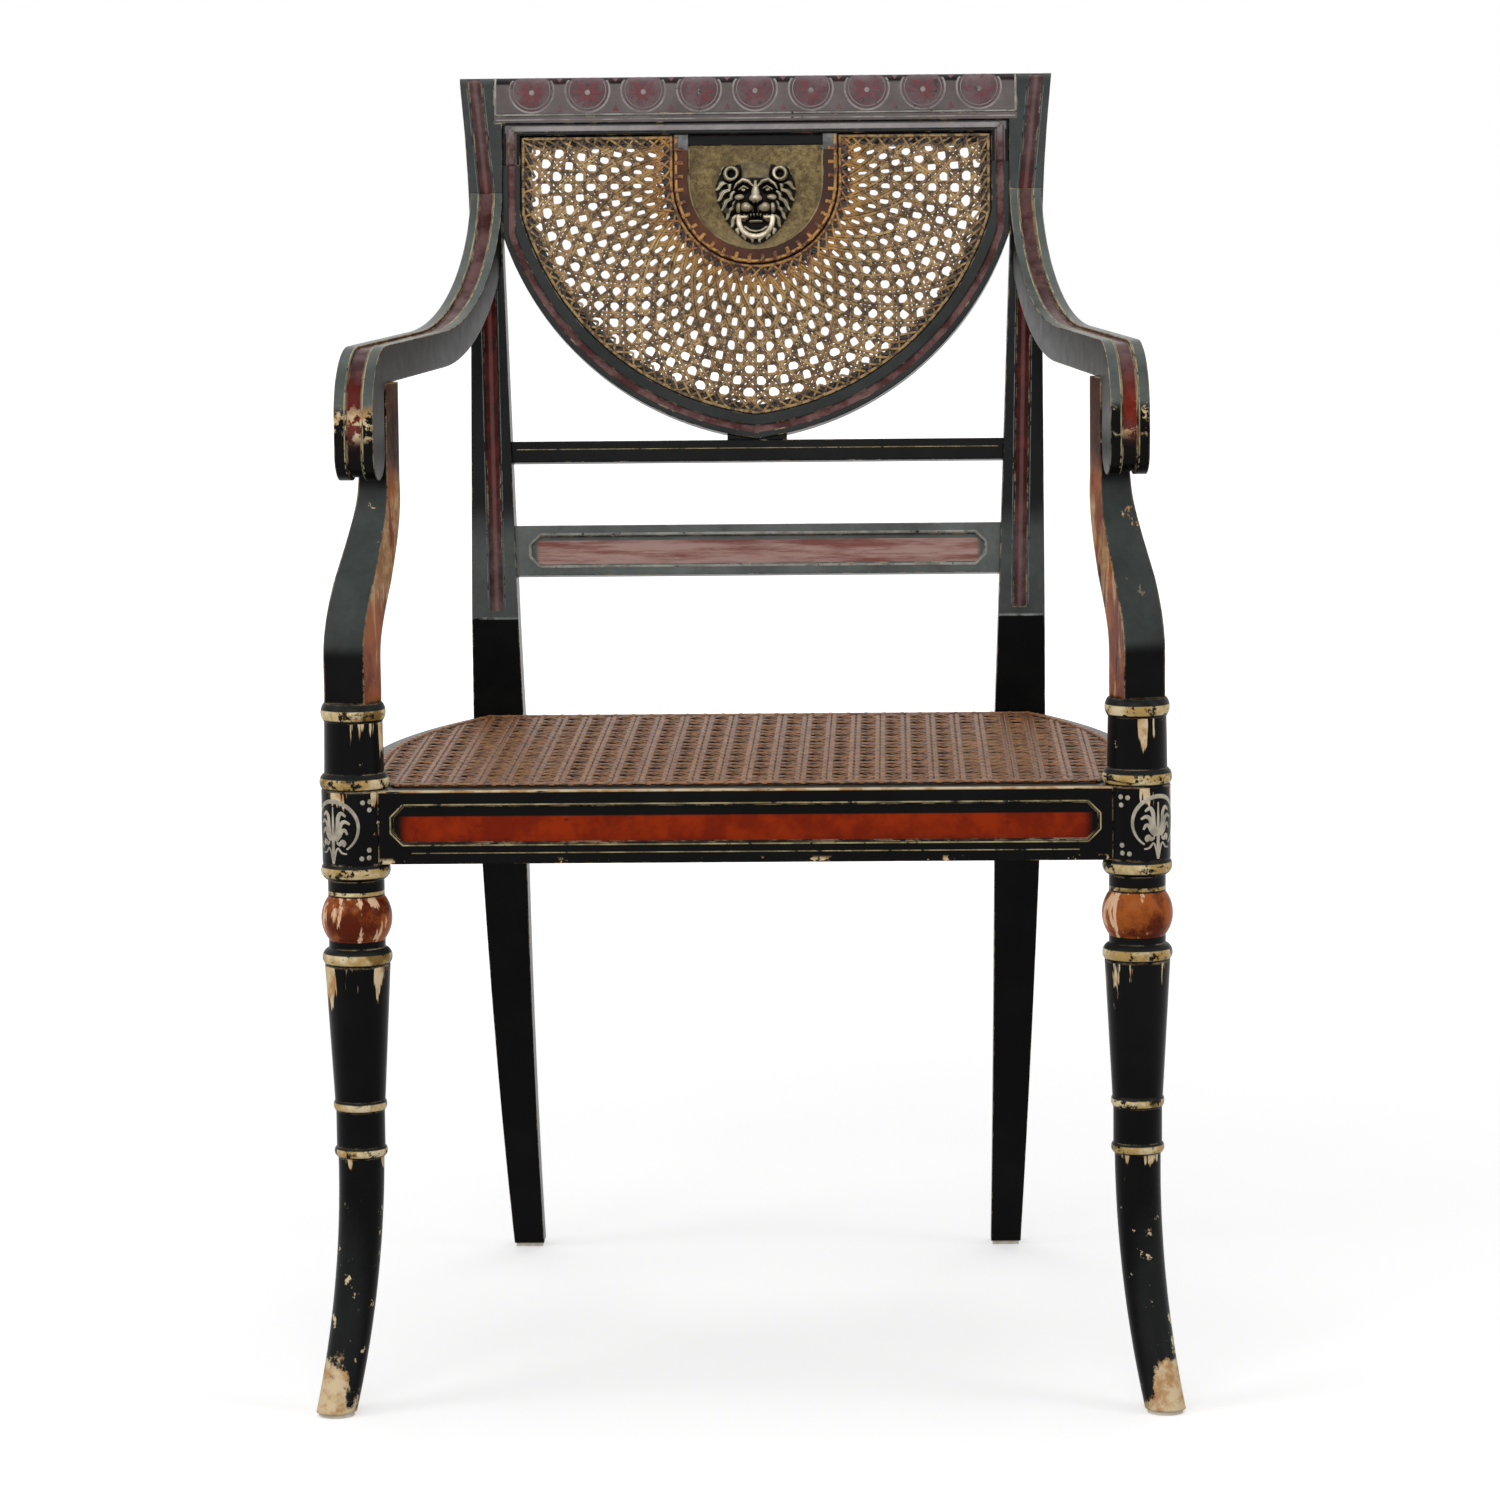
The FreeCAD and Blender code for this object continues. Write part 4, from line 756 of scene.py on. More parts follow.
def weave_back(shape):
    def lay(points, width):
        shade = random.random()
        for stretch in stretches(points, lambda u, v: in_back(u, v, 0.4)):
            shape.strip(back_surface, stretch, width * random.uniform(0.88, 1.1), 0.55,
                        tint=lambda u, v: shade if in_back(u, v, ROW) else 2.0)

    columns = int(FAN_WHOLE / COLUMN) + 1
    for i in range(columns * 2):  # strands out from the shield, on either side of each column of gaps
        angle = FAN_FIRST + COLUMN * (i / 2 + 0.25) + random.uniform(-0.05, 0.05) * COLUMN
        reach = [FIRST_R - 4 + k * 2.15 for k in range(76)]
        lay([polar(angle, r, 0.55 + 0.22 * wave((r - FIRST_R) / ROW + i)) for r in reach], 2.1)
    for j in range(19):  # strands round the shield, between the rows of gaps
        radius = FIRST_R + ROW * (j + 0.5) + random.uniform(-0.5, 0.5)
        turns = [FAN_WHOLE * k / 299 for k in range(300)]
        lay([polar(FAN_FIRST + t, radius, 0.5 + 0.25 * wave(2 * t / COLUMN + j)) for t in turns], 2.5)
    for way in (-1, 1):  # slanting pairs, which take the corners off the gaps
        for i in range(-12, columns + 12):
            for pair in (-0.125, 0.125):
                shift = i + 0.5 + pair + random.uniform(-0.03, 0.03)
                points = []
                for k in range(90):
                    radius = FIRST_R - 4 + k * 1.85
                    rows = (radius - FIRST_R) / ROW
                    turn = COLUMN * (shift + way * rows / 2)
                    h = 1.0 + 0.12 * way + 0.2 * wave(rows + i + way)
                    if 0 <= turn <= FAN_WHOLE:
                        points.append(polar(FAN_FIRST + turn, radius, h))
                lay(points, 2.25)


def opening_path(inset):
    """The edge of the panel's opening, from the shield round to the shield, inset by a distance."""
    half = OPENING_HALF - inset
    radius = OPENING_R - inset
    top = OPENING_TOP - inset
    meet = acos((half + BOW_OFFSET) / radius)
    low = acos(BOW_OFFSET / radius)
    over = run((SHIELD_OUT + 1.5, top), (half, top), EDGE_STEP)
    side = run((half, top), (half, BOW_CENTRE_Z - radius * sin(meet)), EDGE_STEP)
    return mirrored(over + side + bend((-BOW_OFFSET, BOW_CENTRE_Z), radius, -meet, -low, EDGE_STEP))


def shield_path(outset):
    """The outer edge of the shield, outset by a distance."""
    radius = SHIELD_OUT + outset
    side = run((radius, OPENING_TOP - 1.0), (radius, SHIELD_Z), EDGE_STEP)
    return mirrored(side + bend((0.0, SHIELD_Z), radius, 0.0, -pi / 2, EDGE_STEP))


def looped_edge(shape, inner, outer, rim, count, lift):
    """Cane stitched along an edge: crossed loops that run into the web, and a binder with straps over it."""
    inner = even(inner, count)
    outer = even(outer, count)
    for i in range(count - 1):
        for a, b, rise in ((outer[i], inner[i + 1], 0.55), (inner[i], outer[i + 1], 0.15)):
            a = (a[0] + random.uniform(-0.5, 0.5), a[1] + random.uniform(-0.5, 0.5))
            middle = ((a[0] + b[0]) / 2, (a[1] + b[1]) / 2)
            loop = [a + (lift,), middle + (lift + rise,), b + (lift,)]
            shape.strip(back_surface, loop, 1.9, 0.5, tint=random.random())
    shape.strip(back_surface, raised(rim, lift + 0.55), 2.6, 0.7, tint=0.2)
    for i, (u, v) in enumerate(even(rim, count)[1:-1], 1):
        way = (Vector(inner[i]) - Vector(outer[i])).normalized()
        strap = [(u + way.x * k, v + way.y * k, lift + h)
                 for k, h in ((-1.4, 0.5), (-0.7, 1.3), (0.7, 1.3), (1.9, 0.6))]
        shape.strip(back_surface, strap, 2.0, 0.3, tint=random.random())


def edge_back(shape):
    looped_edge(shape, opening_path(10.8), opening_path(2.4), opening_path(1.9), 88, 1.1)


def edge_shield(shape):
    looped_edge(shape, shield_path(12.6), shield_path(2.2), shield_path(2.0), 34, 1.2)
    shape.strip(shield_surface, raised(shield_path(-1.6), 0.0), 2.2, 0.7, tint=0.1)
    for u, v in even(shield_path(-1.5), 26)[1:-1]:
        away = Vector((u, min(0.0, v - SHIELD_Z))).normalized()
        strap = [(u + away.x * k, v + away.y * k, h)
                 for k, h in ((1.4, 0.1), (-0.8, 0.75), (-3.0, 0.6), (-5.2, 0.05))]
        shape.strip(shield_surface, strap, 2.8, 0.5, tint=random.random())


back_cane_finish = cane("back_cane_fibre", "ba9862", "7e5c35", "46300f", "1c1007", 0.0028, shield_stain)
amber_finish = cane("amber_cane_fibre", "bd8d48", "93602a", "4e260f", "1e0d05", 0.0026)
build("back_cane_web", weave_back, [back_cane_finish], "back_cane")
build("back_cane_edge", edge_back, [back_cane_finish], "back_binder")
build("shield_cane_edge", edge_shield, [amber_finish], "shield_binder")


# Seat cane

SEAT_FRONT = FRONT_RAIL_Y + 18.0
SEAT_BACK = POST_Y - 4.0
SEAT_SET = 10.0
SEAT_START = 262.0
SEAT_FIRST_ROW = 5.0
SEAT_PITCH = 18.0
LEG_CLEAR_R = 25.6


def seat_surface(u, v, h):
    return place(u, v, SEAT_TOP + h)


def in_seat(u, v, margin):
    """Inside the seat rails and clear of the legs, by at least margin."""
    if v < SEAT_FRONT + margin or v > SEAT_BACK - margin:
        return False
    if hypot(abs(u) - LEG_X, v - LEG_Y) < LEG_CLEAR_R + margin:
        return False
    curve = max(0.0, v - SIDE_ARC_Y)
    reach = SIDE_X - SIDE_ARC_R + sqrt(SIDE_ARC_R ** 2 - curve ** 2)
    return abs(u) < reach - SEAT_SET - margin


def weave_seat(shape):
    def lay(points, width):
        for stretch in stretches(points, lambda u, v: in_seat(u, v, 0.6)):
            shape.strip(seat_surface, stretch, width * random.uniform(0.93, 1.05), 0.6, tint=random.random())

    for i in range(-15, 16):  # pairs from front to back
        for pair in (-2.1, 2.1):
            u = i * SEAT_PITCH + pair + random.uniform(-0.3, 0.3)
            points = [(u, SEAT_FRONT + k * 3.8, 1.15 + 0.25 * wave(k * 7.6 / SEAT_PITCH + (pair > 0)))
                      for k in range(104)]
            lay(points, 3.4)
    for j in range(23):  # pairs from side to side
        for pair in (-2.0, 2.0):
            v = SEAT_FRONT + SEAT_FIRST_ROW + j * SEAT_PITCH + pair
            points = [(k * 4.0 - SEAT_START, v, 0.45 + 0.2 * cos(8.0 * pi * k / SEAT_PITCH + j))
                      for k in range(132)]
            lay(points, 3.0)
    for way in (-1, 1):  # single strands on the slant
        for i in range(-40, 41):
            points = []
            for k in range(150):
                v = SEAT_FRONT + k * 2.7
                u = (i + 0.5) * SEAT_PITCH + way * (v - SEAT_FRONT - SEAT_FIRST_ROW)
                points.append((u, v, 0.85 + 0.15 * way + 0.2 * wave(v / SEAT_PITCH)))
            lay(points, 2.6)


def seat_path(inset, step):
    """The edge of the seat cane, inset by a distance."""
    front = SEAT_FRONT + inset
    back = SEAT_BACK - inset
    clear = LEG_CLEAR_R + inset
    side = SIDE_X - SEAT_SET - inset
    radius = SIDE_ARC_R - SEAT_SET - inset
    start = LEG_X - sqrt(clear ** 2 - (front - LEG_Y) ** 2)
    end = LEG_Y + sqrt(clear ** 2 - (side - LEG_X) ** 2)
    first = atan2(front - LEG_Y, start - LEG_X)
    last = atan2(end - LEG_Y, side - LEG_X)
    swing = asin((back - SIDE_ARC_Y) / radius)
    right = run((0.0, front), (start, front), step)
    right += bend((LEG_X, LEG_Y), clear, first, last, step)[:-1]
    right += run((side, end), (side, SIDE_ARC_Y), step)
    right += bend((SIDE_X - SIDE_ARC_R, SIDE_ARC_Y), radius, 0.0, swing, step)
    right += run(right[-1], (0.0, back), step)[1:] + [(0.0, back)]
    return mirrored(right)[:-1]


def edge_seat(shape):
    shape.strip(seat_surface, raised(seat_path(3.2, 6.0), 1.75), 5.0, 0.9, closed=True, tint=0.3)
    ring = seat_path(3.2, 13.0)
    for (u, v), after in zip(ring, ring[1:] + ring[:1]):
        size = dist((u, v), after)
        du, dv = (v - after[1]) / size, (after[0] - u) / size
        strap = [(u + du * k, v + dv * k, h) for k, h in ((-3.1, 1.0), (-1.6, 2.55), (1.6, 2.55), (3.4, 1.3))]
        shape.strip(seat_surface, strap, 3.2, 0.35, tint=random.uniform(0.2, 0.9))


seat_cane_finish = cane("seat_cane_fibre", "976840", "7a5030", "5a3b24", "3a2616", 0.003)
build("seat_cane_web", weave_seat, [seat_cane_finish], "seat_cane")
build("seat_cane_edge", edge_seat, [seat_cane_finish], "seat_binder")


# Lion mask, in millimetres from its middle

OUTLINE = [  # half widths of the mask by height
    (-29.5, 0.0), (-28.0, 6.0), (-25.0, 11.0), (-18.0, 18.5), (-10.0, 24.0), (0.0, 28.5), (11.0, 31.5),
    (22.0, 29.5), (27.0, 24.0), (31.0, 15.0), (33.5, 7.0), (34.0, 0.0)]
MANE = [  # each lock from its root to its tip, with its half width and height
    (21.5, 28.0, 28.0, 22.8, 2.5, 5.0), (21.5, 17.0, 31.0, 11.8, 3.1, 5.6), (20.5, 11.0, 30.2, 3.0, 3.3, 6.2),
    (18.5, 4.5, 27.2, -4.5, 3.3, 6.6), (17.0, -2.0, 23.8, -11.5, 3.1, 6.2),
    (14.8, -8.0, 19.6, -17.2, 2.8, 5.4), (12.5, -17.0, 14.2, -22.2, 2.4, 4.6),
    (17.2, 17.5, 21.0, 8.0, 2.5, 8.0), (16.4, 9.5, 19.4, 0.5, 2.5, 8.2), (15.2, 2.5, 17.4, -6.0, 2.4, 7.8),
    (3.4, -21.5, 3.2, -28.0, 2.6, 5.6), (8.6, -20.5, 8.4, -26.0, 2.4, 4.8)]
BROW = [  # points of a ridge, each with its half width and height
    (1.8, 13.4, 1.6, 12.0), (5.0, 17.0, 2.1, 12.6), (9.4, 18.4, 2.1, 12.2), (14.0, 15.4, 1.6, 10.6),
    (16.0, 12.0, 0.9, 9.0)]
LID = [(5.4, 11.8, 1.0, 10.2), (8.6, 13.7, 1.2, 10.9), (12.4, 11.4, 1.0, 9.6)]
BASE_H = 1.8
MOUTH_H = 1.4
RING_R = 12.5
RING_Z = -11.5


def half_width(z):
    for (low, a), (high, b) in zip(OUTLINE, OUTLINE[1:]):
        if low <= z <= high:
            return a + (b - a) * (z - low) / (high - low)
    return 0.0


def dome(x, z, cx, cz, rx, rz, high):
    q = ((x - cx) / rx) ** 2 + ((z - cz) / rz) ** 2
    return high * sqrt(1 - q) if q < 1 else 0.0


def dip(x, z, cx, cz, rx, rz, deep):
    q = ((x - cx) / rx) ** 2 + ((z - cz) / rz) ** 2
    return deep * (1 - q) ** 2 if q < 1 else 0.0


def ridge(x, z, a, b):
    """A round ridge between two points, each with its half width and height."""
    dx, dz = b[0] - a[0], b[1] - a[1]
    t = ((x - a[0]) * dx + (z - a[1]) * dz) / (dx * dx + dz * dz)
    t = min(1.0, max(0.0, t))
    away = hypot(x - a[0] - dx * t, z - a[1] - dz * t) / (a[2] + (b[2] - a[2]) * t)
    return (a[3] + (b[3] - a[3]) * t) * sqrt(1 - away * away) if away < 1 else 0.0


def chain(x, z, points):
    return max(ridge(x, z, a, b) for a, b in zip(points, points[1:]))


def merge(a, b, soft):
    """The higher of two heights, with a rounded join."""
    share = max(soft - abs(a - b), 0.0) / soft
    return max(a, b) + share * share * soft / 4


def lock(x, z, ax, az, bx, bz, wide, top):
    """A lock of hair: an S-curved leaf with fine grooves along it."""
    length = hypot(bx - ax, bz - az)
    ex, ez = (bx - ax) / length, (bz - az) / length
    t = ((x - ax) * ex + (z - az) * ez) / length
    if t < -0.15 or t > 1.0:
        return 0.0
    side = (z - az) * ex - (x - ax) * ez - 0.28 * wide * sin(2 * pi * t)
    half = wide * (0.9 + 0.4 * t if t < 0.5 else 2.2 * (1 - t))
    half *= sqrt(max(0.0, 1 - (t / 0.15) ** 2)) if t < 0 else 1.0
    if abs(side) >= half:
        return 0.0
    grooves = 1 - 0.07 * (1 + cos(4 * pi * side / wide))
    return top * (1 - 0.42 * t) * sqrt(1 - (side / half) ** 2) * grooves


def lion_face(x, z):
    side = abs(x)
    face = dome(x, z, 0, 3.0, 16.0, 20.0, 9.0)
    face = merge(face, dome(side, z, 11.6, 5.4, 5.0, 3.4, 11.2), 1.2)  # cheeks
    face = merge(face, dome(side, z, 11.8, -1.6, 4.0, 6.0, 10.2), 1.2)
    face = max(face, chain(side, z, BROW))
    face -= dip(side, z, 8.8, 11.2, 5.4, 3.6, 5.6)  # eyes in their sockets
    face = max(face, dome(side, z, 8.9, 11.0, 2.7, 1.9, 10.2) - dip(side, z, 8.7, 11.0, 1.0, 1.0, 1.6))
    face = max(face, chain(side, z, LID))
    face = merge(face, ridge(x, z, (0, 16.5, 2.8, 11.8), (0, 6.0, 5.4, 15.6)), 1.6)  # nose and muzzle
    face = merge(face, dome(x, z, 0, 4.2, 6.2, 4.8, 17.2), 1.0)
    face = merge(face, dome(side, z, 6.8, -2.0, 5.8, 5.0, 14.8), 0.8)
    face -= dip(side, z, 3.5, 1.0, 1.9, 1.5, 4.4)
    face -= ridge(x, z, (0, 0.4, 1.0, 3.6), (0, -6.0, 1.5, 3.6))
    for wx, wz in ((5.4, -1.0), (7.6, -0.4), (6.6, -3.0), (9.0, -2.4)):
        face -= dip(side, z, wx, wz, 0.7, 0.7, 1.0)
    return face


def lion_jaws(x, z):
    """Corners of the mouth, teeth, tongue and lower lip."""
    side = abs(x)
    jaws = dome(side, z, 8.8, -9.2, 2.5, 3.3, 12.4)
    for k, tall in enumerate((1.5, 1.6, 2.6)):
        jaws = max(jaws, dome(side, z, 1.25 + 2.45 * k, -6.6 - 0.2 * k * k - tall / 2, 1.2, tall, 11.0))
    jaws = max(jaws, ridge(x, z, (-4.6, -11.8, 0.9, 7.4), (4.6, -11.8, 0.9, 7.4)))
    for a, b in (((0.0, -19.2), (4.4, -18.4)), ((4.4, -18.4), (8.0, -15.8))):
        jaws = max(jaws, ridge(side, z, a + (1.5, 3.6), b + (1.3, 3.6)))
    return jaws


def lion_height(x, z):
    side = abs(x)
    high = BASE_H if side < half_width(z) - 1.0 else 0.0
    high = max([high, dome(x, z, 0, 21.0, 13.0, 12.6, 8.6)] + [lock(side, z, *item) for item in MANE])
    face = lion_face(x, z)
    hollow = min(1.0, 2.8 * dip(x, z, 0, -12.8, 10.2, 8.0, 1.0))
    face += (MOUTH_H - face) * hollow
    high += (MOUTH_H - high) * hollow
    high = max(high, face, lion_jaws(x, z))
    away = hypot(side - 18.0, z - 23.4)  # from the middle of an ear
    if away < 6.4:
        rim = max(0.0, 1 - ((away - 4.4) / 2.0) ** 2)
        high = max(BASE_H, 8.8 * sqrt(rim)) if away > 2.4 else BASE_H
    elif away < 7.4:
        high = min(high, 2.2)
    away = abs(side - RING_R) if z > RING_Z else abs(hypot(x, z - RING_Z) - RING_R)
    return min(high, 7.4) if z < -6.0 and away < 3.4 else high


def sculpt_lion(shape):
    step = 0.4
    nx, nz = 170, 162
    x0, z0 = -step * nx / 2, -30.5
    level = [[lion_height(x0 + i * step, z0 + j * step) for i in range(nx + 1)] for j in range(nz + 1)]

    def relief(i, j):
        """How far a point stands above what is near it."""
        near = [level[b][a] for a in range(max(0, i - 7), min(nx, i + 7) + 1, 2)
                for b in range(max(0, j - 7), min(nz, j + 7) + 1, 2)]
        return level[j][i] - sum(near) / len(near)

    def corners(i, j):
        return (i, j), (i + 1, j), (i + 1, j + 1), (i, j + 1)

    cells = [(i, j) for i in range(nx) for j in range(nz) if min(level[b][a] for a, b in corners(i, j)) > 0.9]
    filled = set(cells)
    rim = []
    for i, j in cells:
        ring = corners(i, j)
        beside = [(i, j - 1), (i + 1, j), (i, j + 1), (i - 1, j)]
        rim.extend((ring[k], ring[(k + 1) % 4]) for k in range(4) if beside[k] not in filled)
    near = {}
    for a, b in rim:
        near.setdefault(a, []).append(b)
        near.setdefault(b, []).append(a)
    spot = {c: (x0 + c[0] * step, z0 + c[1] * step) for c in near}
    for _ in range(8):  # an even outline, without the grid's steps
        around = {c: [spot[c], spot[c]] + [spot[n] for n in near[c]] for c in near}
        spot = {c: tuple(sum(k) / len(k) for k in zip(*spots)) for c, spots in around.items()}
    front, back = {}, {}
    for i, j in cells:
        ring = corners(i, j)
        for a, b in ring:
            if (a, b) not in front:
                x, z = spot.get((a, b), (x0 + a * step, z0 + b * step))
                front[a, b] = len(shape.verts)
                back[a, b] = front[a, b] + 1
                shape.verts += [back_surface(x, MASK_Z + z, h) for h in (level[b][a], 0.0)]
                shape.tints += [relief(a, b), -3.0]
        shape.faces.append(tuple(front[c] for c in ring))
        shape.faces.append(tuple(back[c] for c in reversed(ring)))
    shape.faces += [(front[a], back[a], back[b], front[b]) for a, b in rim]
    shape.marks = [0] * len(shape.faces)


lion_finish = brass("lion_brass", 0.5, True)
lion = build("lion_mask_cast", sculpt_lion, [lion_finish], "lion_mask", smooth=True)
soften = lion.modifiers.new("soften", "SMOOTH")
soften.factor = 0.5
soften.iterations = 4


# Painted ornament

LINE_H = 0.16
ROUNDEL_Z = 887.0
ROUNDEL_R = 16.4
ROUNDEL_PITCH = 41.45
ROUNDEL_TOP = ROLL_Z + ROLL_R * 1.35
MEDALLION_Z = 397.6
CREST_HALF = 192.5
HEAD_BEAD = [(-181.1, 832.5), (-181.1, 858.5), (181.1, 858.5), (181.1, 832.5)]
PALMETTE = [  # leaves on one side of the stem, from the foot to the curled tip, with their widest
    (((1.0, -8.5), (3.6, 0.0), (4.0, 7.0), (6.4, 10.4), (9.8, 7.6)), 3.0),
    (((2.0, -9.0), (5.2, -2.6), (6.0, 2.6), (9.0, 4.6), (12.6, 2.4)), 2.8),
    (((2.6, -9.4), (5.4, -6.0), (7.0, -1.8), (9.4, -1.4), (10.8, -4.6)), 2.6),
    (((3.0, -10.0), (5.4, -11.6), (7.4, -9.0), (9.0, -10.6), (8.0, -12.6)), 3.2),
    (((0.6, -24.0), (2.4, -15.0), (4.2, -13.6), (6.6, -17.2), (10.4, -17.6)), 1.5)]
DOTS = ((-12.4, 414.8), (-7.4, 414.4), (-12.0, 409.4), (-11.4, 382.4), (-11.2, 377.2), (-6.2, 376.8))

gilt_line = faded("gilt_line_paint", "a89a72", "75694a", loss=0.55)
pale_line = faded("pale_line_paint", "9c9a93", "77756e", loss=0.4)
flute_highlight_paint = faded("flute_highlight_line_paint", "6d7675", "4f5656", loss=0.62)
drum_paint = faded("drum_ornament_paint", "b9b19f", "8f887a", loss=0.22)
rose_ground = faded("roundel_ground_paint", "5a4547", "68585a", ground="40383a", loss=0.5)
rose_petal = faded("roundel_petal_paint", "6b3f43", "6a5456", ground="54484a", loss=0.55)
rose_line = faded("roundel_line_paint", "948e8b", "746e6c", ground="3c3738", loss=0.4)
# The half-round's paint is grey and takes the full painted sheen, a painted highlight along it.
bead_paint_and_sheen = lacquer("bead_paint_and_sheen", (return_red,), black="2c2d2e", sheen="44474a", sheen_tint="aaa4a2", sheen_share=1.0)


def crest_surface(u, v, h):
    """Front of the crest and the posts, running on over the crest's rolled top."""
    if v <= ROLL_Z:
        return lean(u, -h, v)
    a = (v - ROLL_Z) / ROLL_R
    reach = ROLL_R + h
    return lean(u, ROLL_R - reach * cos(a), ROLL_Z + reach * sin(a))


def rail_surface(u, v, h):
    return place(u, FRONT_RAIL_Y - h, v)


def drum_surface(side, turn):
    def surface(u, v, h):
        a = turn + u / DRUM_R
        reach = DRUM_R + h
        return place(side * (LEG_X + reach * sin(a)), LEG_Y - reach * cos(a), v)

    return surface


def arm_surface(side):
    """Top of an arm, from the front of the curl up the scroll and back to the post."""
    roll_y = ARM_FRONT_Y + SCROLL_R
    roll_z = ARM_TOP - SCROLL_R
    curl_z = SCROLL_Z + CURL_R
    straight = roll_z - curl_z
    rolled = straight + SCROLL_R * pi / 2
    level = rolled + ARM_FLAT_Y - roll_y

    def surface(u, v, h):
        if v < 0:
            a = -v / CURL_R
            ny, nz = -cos(a), -sin(a)
            y, z = ARM_FRONT_Y + CURL_R + CURL_R * ny, curl_z + CURL_R * nz
        elif v < straight:
            y, z, ny, nz = ARM_FRONT_Y, curl_z + v, -1.0, 0.0
        elif v < rolled:
            a = (v - straight) / SCROLL_R
            ny, nz = -cos(a), sin(a)
            y, z = roll_y + SCROLL_R * ny, roll_z + SCROLL_R * nz
        elif v < level:
            y, z, ny, nz = roll_y + v - rolled, ARM_TOP, 0.0, 1.0
        else:
            t = min((v - level) / level * 1.9, 1.0) * radians(85.0)
            y, z = ARM_FLAT_Y + ARM_REACH * sin(t), ARM_HIGH - ARM_RISE * cos(t)
            ny, nz = Vector((-sin(t) * ARM_RISE, cos(t) * ARM_REACH)).normalized()
        x = ARM_X + (y - ARM_FRONT_Y) * ARM_SPLAY + u
        return place(side * x, y + ny * h, z + nz * h)

    return surface


def leaf(thin, swell, rate=1.0, start=0.0):
    """Width of a leaf by the share along it."""
    return lambda s: thin + swell * sin(pi * min(1.0, s * rate + start))


def roundels(shape):
    for i in range(-4, 5):
        u = i * ROUNDEL_PITCH
        eye = ROUNDEL_Z - 1.5
        shape.disc(crest_surface, u, ROUNDEL_Z, ROUNDEL_R - 1.0, 0.08, 1, rings=9, sides=48,
                   keep=lambda _, v: v < ROUNDEL_TOP)
        for share, h, width in ((1.0, 0.04, 1.5), (0.83, 0.09, 0.6)):
            ring = arc((u, ROUNDEL_Z), ROUNDEL_R * share, -1.18 * pi, 0.17 * pi, 54)
            shape.strip(crest_surface, raised(ring, h), width, LINE_H)
        for k in range(7):
            a = radians(-90 + (k - 3) * 46)
            petal = [(u + r * cos(a), eye + r * sin(a), 0.1) for r in (1.8, 3.5, 5.5, 7.5, 9.4, 10.8)]
            shape.strip(crest_surface, petal, leaf(1.0, 3.6, 0.9, 0.08), LINE_H, 2, crown=0.75)
        shape.disc(crest_surface, u, eye, 2.0, LINE_H + 0.1)
        if i < 4:
            for v, way in ((872.5, 1), (897.5, -1)):
                tooth = [(u + ROUNDEL_PITCH / 2, v + way * k, 0.05) for k in (-1.0, 1.2, 3.6)]
                shape.strip(crest_surface, tooth, lambda s: 4.6 * (1 - s) + 0.4, LINE_H, 2)


def canted(shape, surface, half, low, high, cant, steps, width):
    """A line round a long panel with its corners cut off."""
    right = [(half - cant, low), (half, low + cant), (half, high - cant), (half - cant, high)]
    ring = right + [(-u, v) for u, v in reversed(right)]
    for a, b in zip(ring, ring[1:] + ring[:1]):
        shape.strip(surface, line(a, b, steps), width, LINE_H)


def level_line(shape, surface, half, z, width):
    shape.strip(surface, line((-half, z), (half, z), 40), width, LINE_H)


def pale_lines(shape):
    level_line(shape, crest_surface, CREST_HALF, 865.3, 0.9)
    level_line(shape, crest_surface, CREST_HALF, 869.0, 1.2)
    for side in (-1, 1):
        end = [(side * (CREST_HALF + 0.4), 869.0 + k * 2.3, 0.0) for k in range(16)]
        shape.strip(crest_surface, end, 1.5, LINE_H)
    middle = LOWER_Z + LOWER_HEIGHT / 2
    canted(shape, lower_surface, 168.5, middle - 12.0, middle + 12.0, 7.6, 12, 1.7)


def flute_edge_highlights(shape):
    """Painted highlights: fine pale lines beside the flutes of the posts, for light on the flutes' edges."""
    for side in (-1, 1):
        for edge in (-6.2, 6.2):
            path = []
            for k in range(60):
                v = 503.0 + k * 6.55
                middle = POST_MIDDLE + (v - CREASE_Z) * POST_SPLAY + max(0.0, v - FLARE_Z) * FLARE
                path.append((side * (middle + edge), v, 0.0))
            shape.strip(crest_surface, path, 0.6, LINE_H)


def head_bead(shape):
    """The half-round along the panel's head and down its returns."""
    for width, low, thick in ((5.6, 0.0, 0.5), (4.2, 0.5, 0.45)):
        for a, b in zip(HEAD_BEAD, HEAD_BEAD[1:]):
            shape.strip(head_surface, line(a, b, 24, low), width, thick, crown=0.8)


def gilt_lines(shape):
    """Lines on the front rail, the cross bar and the arms, and round the plaque."""
    canted(shape, rail_surface, 236.6, 384.6, 411.9, 8.2, 24, 1.0)
    level_line(shape, rail_surface, 222.6, 379.3, 0.7)
    level_line(shape, bar_surface, 178.0, BAR_Z + 9.6, 0.6)
    for side in (-1, 1):
        for u in (-6.0, 6.0):
            shape.strip(arm_surface(side), [(u, -14.0 + k * 5.6, 0.0) for k in range(98)], 0.9, LINE_H)
    rim = [p for p in shield_path(SHIELD_IN - SHIELD_OUT - 0.45) if p[1] < PLAQUE_TOP]
    shape.strip(back_surface, raised(rim, 0.0), 1.4, 0.3)


def bent(points, way):
    """A smooth line through a few points, mirrored by way."""
    points = [(way * u, v) for u, v in points]
    path = [p for a, b in zip(points, points[1:]) for p in split(a, b, 5)] + points[-1:]
    for _ in range(4):
        inner = [((a[0] + b[0] * 2 + c[0]) / 4, (a[1] + b[1] * 2 + c[1]) / 4)
                 for a, b, c in zip(path, path[1:], path[2:])]
        path = path[:1] + inner + path[-1:]
    return path


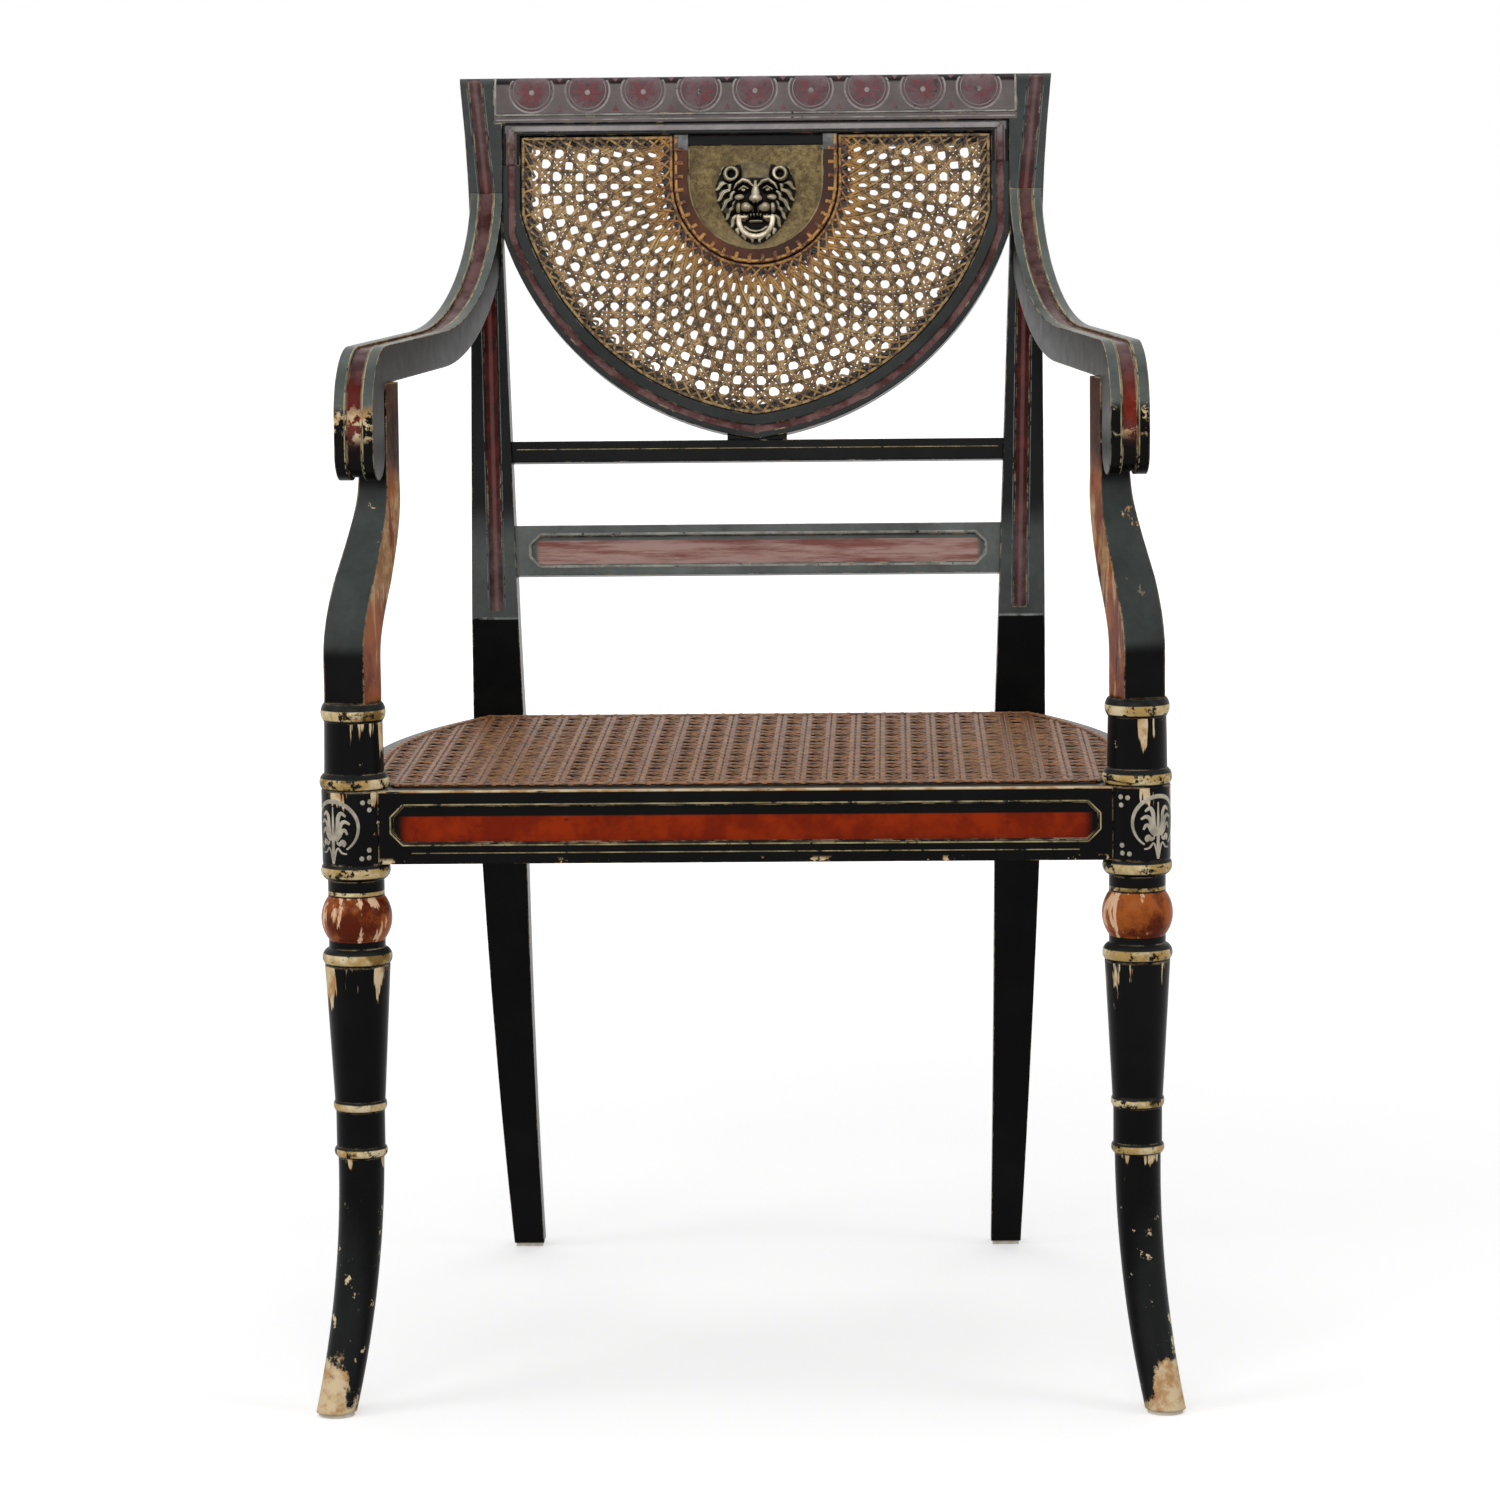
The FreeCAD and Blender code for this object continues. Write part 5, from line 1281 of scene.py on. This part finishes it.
def medallions(shape):
    """A palmette in a ring on each drum, and dots towards the seat rail."""
    turns = [radians(-146 + 292 * k / 60) for k in range(61)]
    ring = [(18.2 * sin(a), MEDALLION_Z + 17.4 * cos(a), 0.0) for a in turns]
    stem = [(0.0, MEDALLION_Z - 24.5 + 3.8 * k, 0.0) for k in range(11)]
    for side in (-1, 1):
        surface = drum_surface(side, radians(36.0))
        shape.strip(surface, ring, leaf(1.3, 1.5), 0.2)
        shape.strip(surface, stem, lambda s: leaf(1.9, 1.2, 1.1)(s) - 0.8 * s, 0.25)
        for way in (-1, 1):
            for points, widest in PALMETTE:
                path = [(u, MEDALLION_Z + v, 0.0) for u, v in bent(points, way)]
                shape.strip(surface, path, leaf(0.8, widest - 0.8, 0.8, 0.1), 0.2)
        for u, v in DOTS:
            shape.disc(drum_surface(side, 0.0), u, v, 1.7, 0.2, sides=9, base=0.05)


build("crest_roundels", roundels, [rose_line, rose_ground, rose_petal])
build("pale_lines", pale_lines, [pale_line])
build("flute_edge_highlights", flute_edge_highlights, [flute_highlight_paint])
build("panel_head_bead", head_bead, [bead_paint_and_sheen])
build("gilt_lines", gilt_lines, [gilt_line])
build("drum_medallions", medallions, [drum_paint])


# Floor, light and camera

FLOOR_HALF = 14.0
PAPER = (0.62, 0.62, 0.62, 1.0)
IMAGE_SIZE = 1500
SENSOR = 36.0


def seen(web):
    """1 for what the camera sees, directly, in gloss or through glass, and 0 for other light."""
    kinds = ("Is Camera Ray", "Is Glossy Ray", "Is Transmission Ray")
    return web.most(*[web.new("LightPath", {}, kind) for kind in kinds])


def floor():
    corners = [(x * FLOOR_HALF, y * FLOOR_HALF, 0) for x, y in ((-1, -1), (1, -1), (1, 1), (-1, 1))]
    mesh = bpy.data.meshes.new("floor")
    mesh.from_pydata(corners, [], [(0, 1, 2, 3)])
    material = bpy.data.materials.new("floor_paper")
    material.use_nodes = True
    web = Web(material.node_tree)
    away = web.new("VectorMath", {0: web.new("TexCoord", {}, "Object")}, "Value", operation="LENGTH")
    spread = web.new("MapRange", {0: away, 1: 0.7, 2: 3.2, 3: 0.5, 4: 1.0}, interpolation_type="SMOOTHSTEP")
    glow = web.new("Emission", {"Strength": seen(web) * spread})
    matte = web.new("BsdfDiffuse", {"Color": PAPER})
    web.put(web.find("OUTPUT_MATERIAL").inputs["Surface"], web.new("AddShader", {0: matte, 1: glow}))
    mesh.materials.append(material)
    add("floor", mesh)


def sky():
    world = bpy.data.worlds.new("studio")
    bpy.context.scene.world = world
    world.use_nodes = True
    web = Web(world.node_tree)
    back = web.find("BACKGROUND")
    web.put(back.inputs["Color"], "ffffff")
    web.put(back.inputs["Strength"], seen(web) * 0.62 + 0.38)


def lamp(name, at, target, width, height, power):
    data = bpy.data.lights.new(name, "AREA")
    data.shape = "RECTANGLE"
    data.size = width
    data.size_y = height
    data.energy = power
    way = Vector(target) - Vector(at)
    add(name, data).matrix_world = Matrix.Translation(at) @ way.to_track_quat("-Z", "Y").to_matrix().to_4x4()


def camera():
    yaw, pitch, roll, focal = 0.02613, 0.1237, -0.01013, 5511.9
    ahead = Vector((-sin(yaw) * cos(pitch), cos(yaw) * cos(pitch), -sin(pitch)))
    level = ahead.cross(Vector(UP)).normalized()
    upright = level.cross(ahead)
    right = level * cos(roll) + upright * sin(roll)
    up = upright * cos(roll) - level * sin(roll)
    data = bpy.data.cameras.new("camera")
    data.sensor_width = SENSOR
    data.lens = focal / IMAGE_SIZE * SENSOR
    piece = add("camera", data)
    turn = Matrix((right, up, -ahead)).transposed().to_4x4()
    piece.matrix_world = Matrix.Translation(place(98.87, LEG_Y - 3649.31, 899.34)) @ turn
    bpy.context.scene.camera = piece


floor()
sky()
lamp("front_box", (-0.5, -3.3, 2.3), (0, 0, 0.7), 2.6, 1.5, 46.0)
lamp("left_box", (-2.6, -1.4, 2.1), (0, 0, 0.5), 1.4, 1.8, 26.0)
lamp("right_box", (2.6, -1.2, 1.7), (0, 0, 0.5), 1.2, 1.8, 16.0)
lamp("top_box", (0.0, 0.5, 3.0), (0, 0, 0.4), 2.2, 2.2, 26.0)
camera()
bpy.context.scene.view_settings.view_transform = "Standard"
